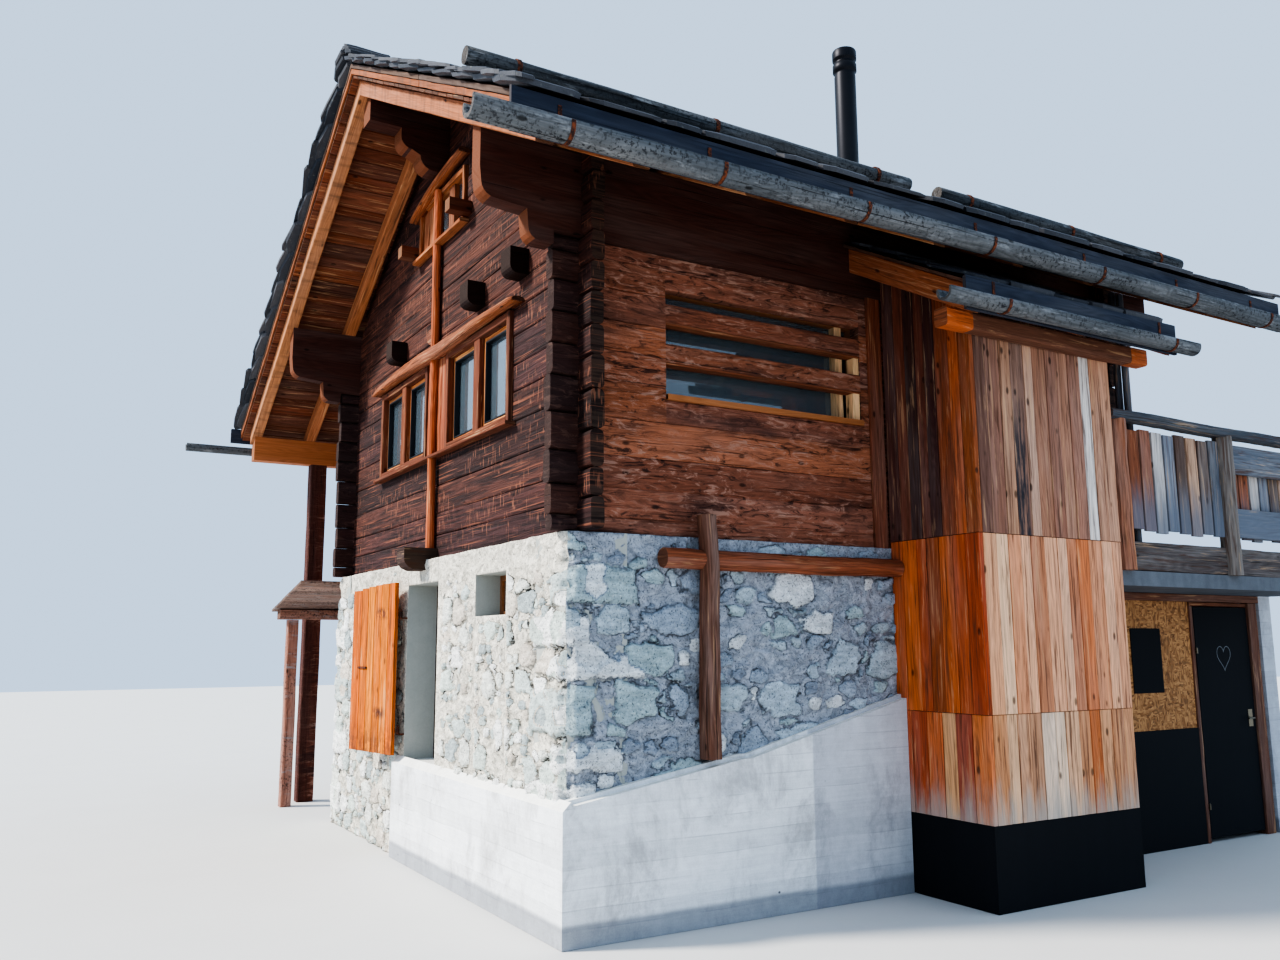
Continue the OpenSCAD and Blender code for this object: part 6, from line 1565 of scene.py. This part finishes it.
# %% Two props under a rafter, one on the terrace and one on the edge beam
make("terrace_prop_poles", post_finish, "timber_grey", ("terrace_props",), timbers(
    [(0.634, 4.8586, 2.36), (0.706, 4.8586, 2.597)], [(0.634, 4.8586, 4.742), (0.706, 4.8586, 4.702)],
    X * 0.058, Y * 0.058, tints(2, (92, 98, 108), (70, 72, 78), seed=3), corner=0.029, arcs=4, rings=18,
    bow=0.001, rough=0.0006, seed=6))

# %% [markdown]
# ## Store room under the terrace
# The front is a sheet of pressed wood flakes, black at the foot. Flakes are the cells of two
# stretched cell patterns, one along and one across, each flake with its own brown.

# %% Flake board
def flake_colour(tree):
    spot = place(tree)
    lying, upright = [Wire(node(tree, "TexVoronoi", {"Vector": spot * sizes, "Scale": 1.0}), "Color")
                      for sizes in ((20, 26, 70), (20, 64, 24))]
    pick = node(tree, "SeparateColor", {0: mixed(steps(noise(spot, 9, 2), 0.46, 0.54), lying, upright)})
    base = mixed(Wire(pick, 0), ink(136, 88, 50), ink(196, 146, 96))
    base = mixed((Wire(pick, 1) > 0.82) * 0.55, base, ink(86, 50, 30))
    return mixed(spot[2] < 1.021, base, ink(14, 16, 21))


dress(mineral("flake_board", flake_colour, 0.1, 0.12, 0.0, 0.05, 0.75, 0.0015), "store_front")
make("store_frame_timbers", board_wood, "log_red", ("store_frame",),
     beams([[(0.02, 6.44, 0.0), (0.10, 6.49, 2.13)], [(0.02, 7.37, 0.0), (0.12, 7.51, 2.168)]],
           tints(2, (104, 66, 50), (132, 92, 76), seed=3), 2, seed=2, corner=0.005, rings=16, bow=0.002),
     beams([[(0.02, 6.44, 2.132), (0.10, 7.37, 2.168)], [(0.02, 4.39, 2.172), (0.12, 7.558, 2.239)]],
           tints(2, (112, 66, 44), (122, 72, 48), seed=6), 1, seed=3, corner=0.005, rings=20, bow=0.001))
STORE_PIN, HINGE_LEVELS = (0.11, 6.493), (0.3, 1.7)
at_pin = lambda *profiles: [turned(profile, *STORE_PIN, 14) for profile in profiles]
make("store_hinge_pins", worn_steel, "iron", (), *at_pin(*[
    [(0.009, z - 0.0083), (0.009, z - 0.0003), (0.005, z - 0.0003), (0.005, z + 0.0467)]
    for z in HINGE_LEVELS]))

# %% Store door, with a chalk outline and a lever
make("store_door_leaf", black_paint, "door_black", ("store_door",), beam(
    (0.055, 6.496, 0.04), (0.10, 7.364, 2.124), 0.02, 2, rings=10, corner=0.004, bow=0, rough=0.0003),
    body="store_leaf")
grip = [(0.10, 7.28, 1.08), (0.125, 7.28, 1.08), (0.143, 7.276, 1.08), (0.147, 7.26, 1.08), (0.147, 7.17, 1.08)]
grip_side = [(0, 1, 0), (0, 1, 0), (0.6, 0.8, 0), (1, 0.2, 0), (1, 0, 0)]
make("store_door_lever", worn_steel, "iron", (), *at_pin(*[
    [(0.0055, z), (0.009, z), (0.009, z + 0.04), (0.0055, z + 0.04)] for z in HINGE_LEVELS]),
    sweep(arc(0, 360, 13, 0.008)[:-1], grip, grip_side, Z, 0.5),
    beam((0.10, 7.245, 1.0), (0.104, 7.315, 1.16), 0.5, 2, corner=0.0018, rings=4, **STILL), body="store_leaf")
w = np.linspace(0, 2 * np.pi, 61)
heart = np.stack([16 * np.sin(w) ** 3,
                  13 * np.cos(w) - 5 * np.cos(2 * w) - 2 * np.cos(3 * w) - np.cos(4 * w)], 1) / 17
path = np.stack([np.full(61, 0.1003), 6.93 + 0.115 * heart[:, 0], 1.66 + 0.135 * heart[:, 1]], 1)
make("chalk_outline", mineral("chalk", (120, 124, 128), 0.3, 0.9, 0.6, 0.2, 0.95, 0.0005), "door_black", (),
     sweep([(-0.004, 0), (0.004, 0), (0.003, 0.0012), (-0.003, 0.0012)], path, square_to(path, X), X, 0.5),
     body="store_leaf")
make("bare_dark_board", black_paint, "door_black", (), beam(
    (0.0855, 5.55, 1.35), (0.0925, 5.98, 1.92), 0.02, 2, corner=0.002, rings=4, **STILL))

# %% Lean-to on the far side, and the posts of the outer purlin
make("lean_to_timbers", grey_wood, "boards", ("lean_to_posts", "lean_to_roof"),
     beams([[(-6.78, -0.25, 0.0), (-6.66, -0.13, 2.098)], [(-6.78, 2.38, 0.0), (-6.66, 2.5, 2.098)]],
           tints(2, (160, 110, 92), (140, 96, 80), seed=2), 2, seed=4, corner=0.01, rings=14, bow=0.004),
     beam((-6.80, -0.35, 2.102), (-6.64, 2.6, 2.218), paint(150, 104, 86), 1, corner=0.01, rings=18, bow=0.003),
     roof_sheet(-6.84, -5.442, -0.405, 3.06, lambda x: 2.235 + 0.187 * (x + 6.70), 0.187, 0.012,
                tints(8, (150, 118, 104), (116, 92, 82), seed=7), rings=12, bow=0.002))
make("outer_post_timbers", red_log, "log_red", ("outer_posts",),
     beams([[(-7.11, y, 0.0), (-6.95, y + 0.19, 3.9905)] for y in (0.0, 5.46)],
           tints(2, (124, 64, 44), (110, 58, 42), seed=1), 2, seed=7, corner=0.012, rings=24, bow=0.004,
           rough=0.0015))

# %% [markdown]
# ## The two boxes
# The dressed house must stay inside the CAD model's box, so both boxes are written down before
# the frame checks that every piece rides on a body.

{"cad": cad_box, "visual": corners(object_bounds())}
print("visual box:", corners(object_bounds()))
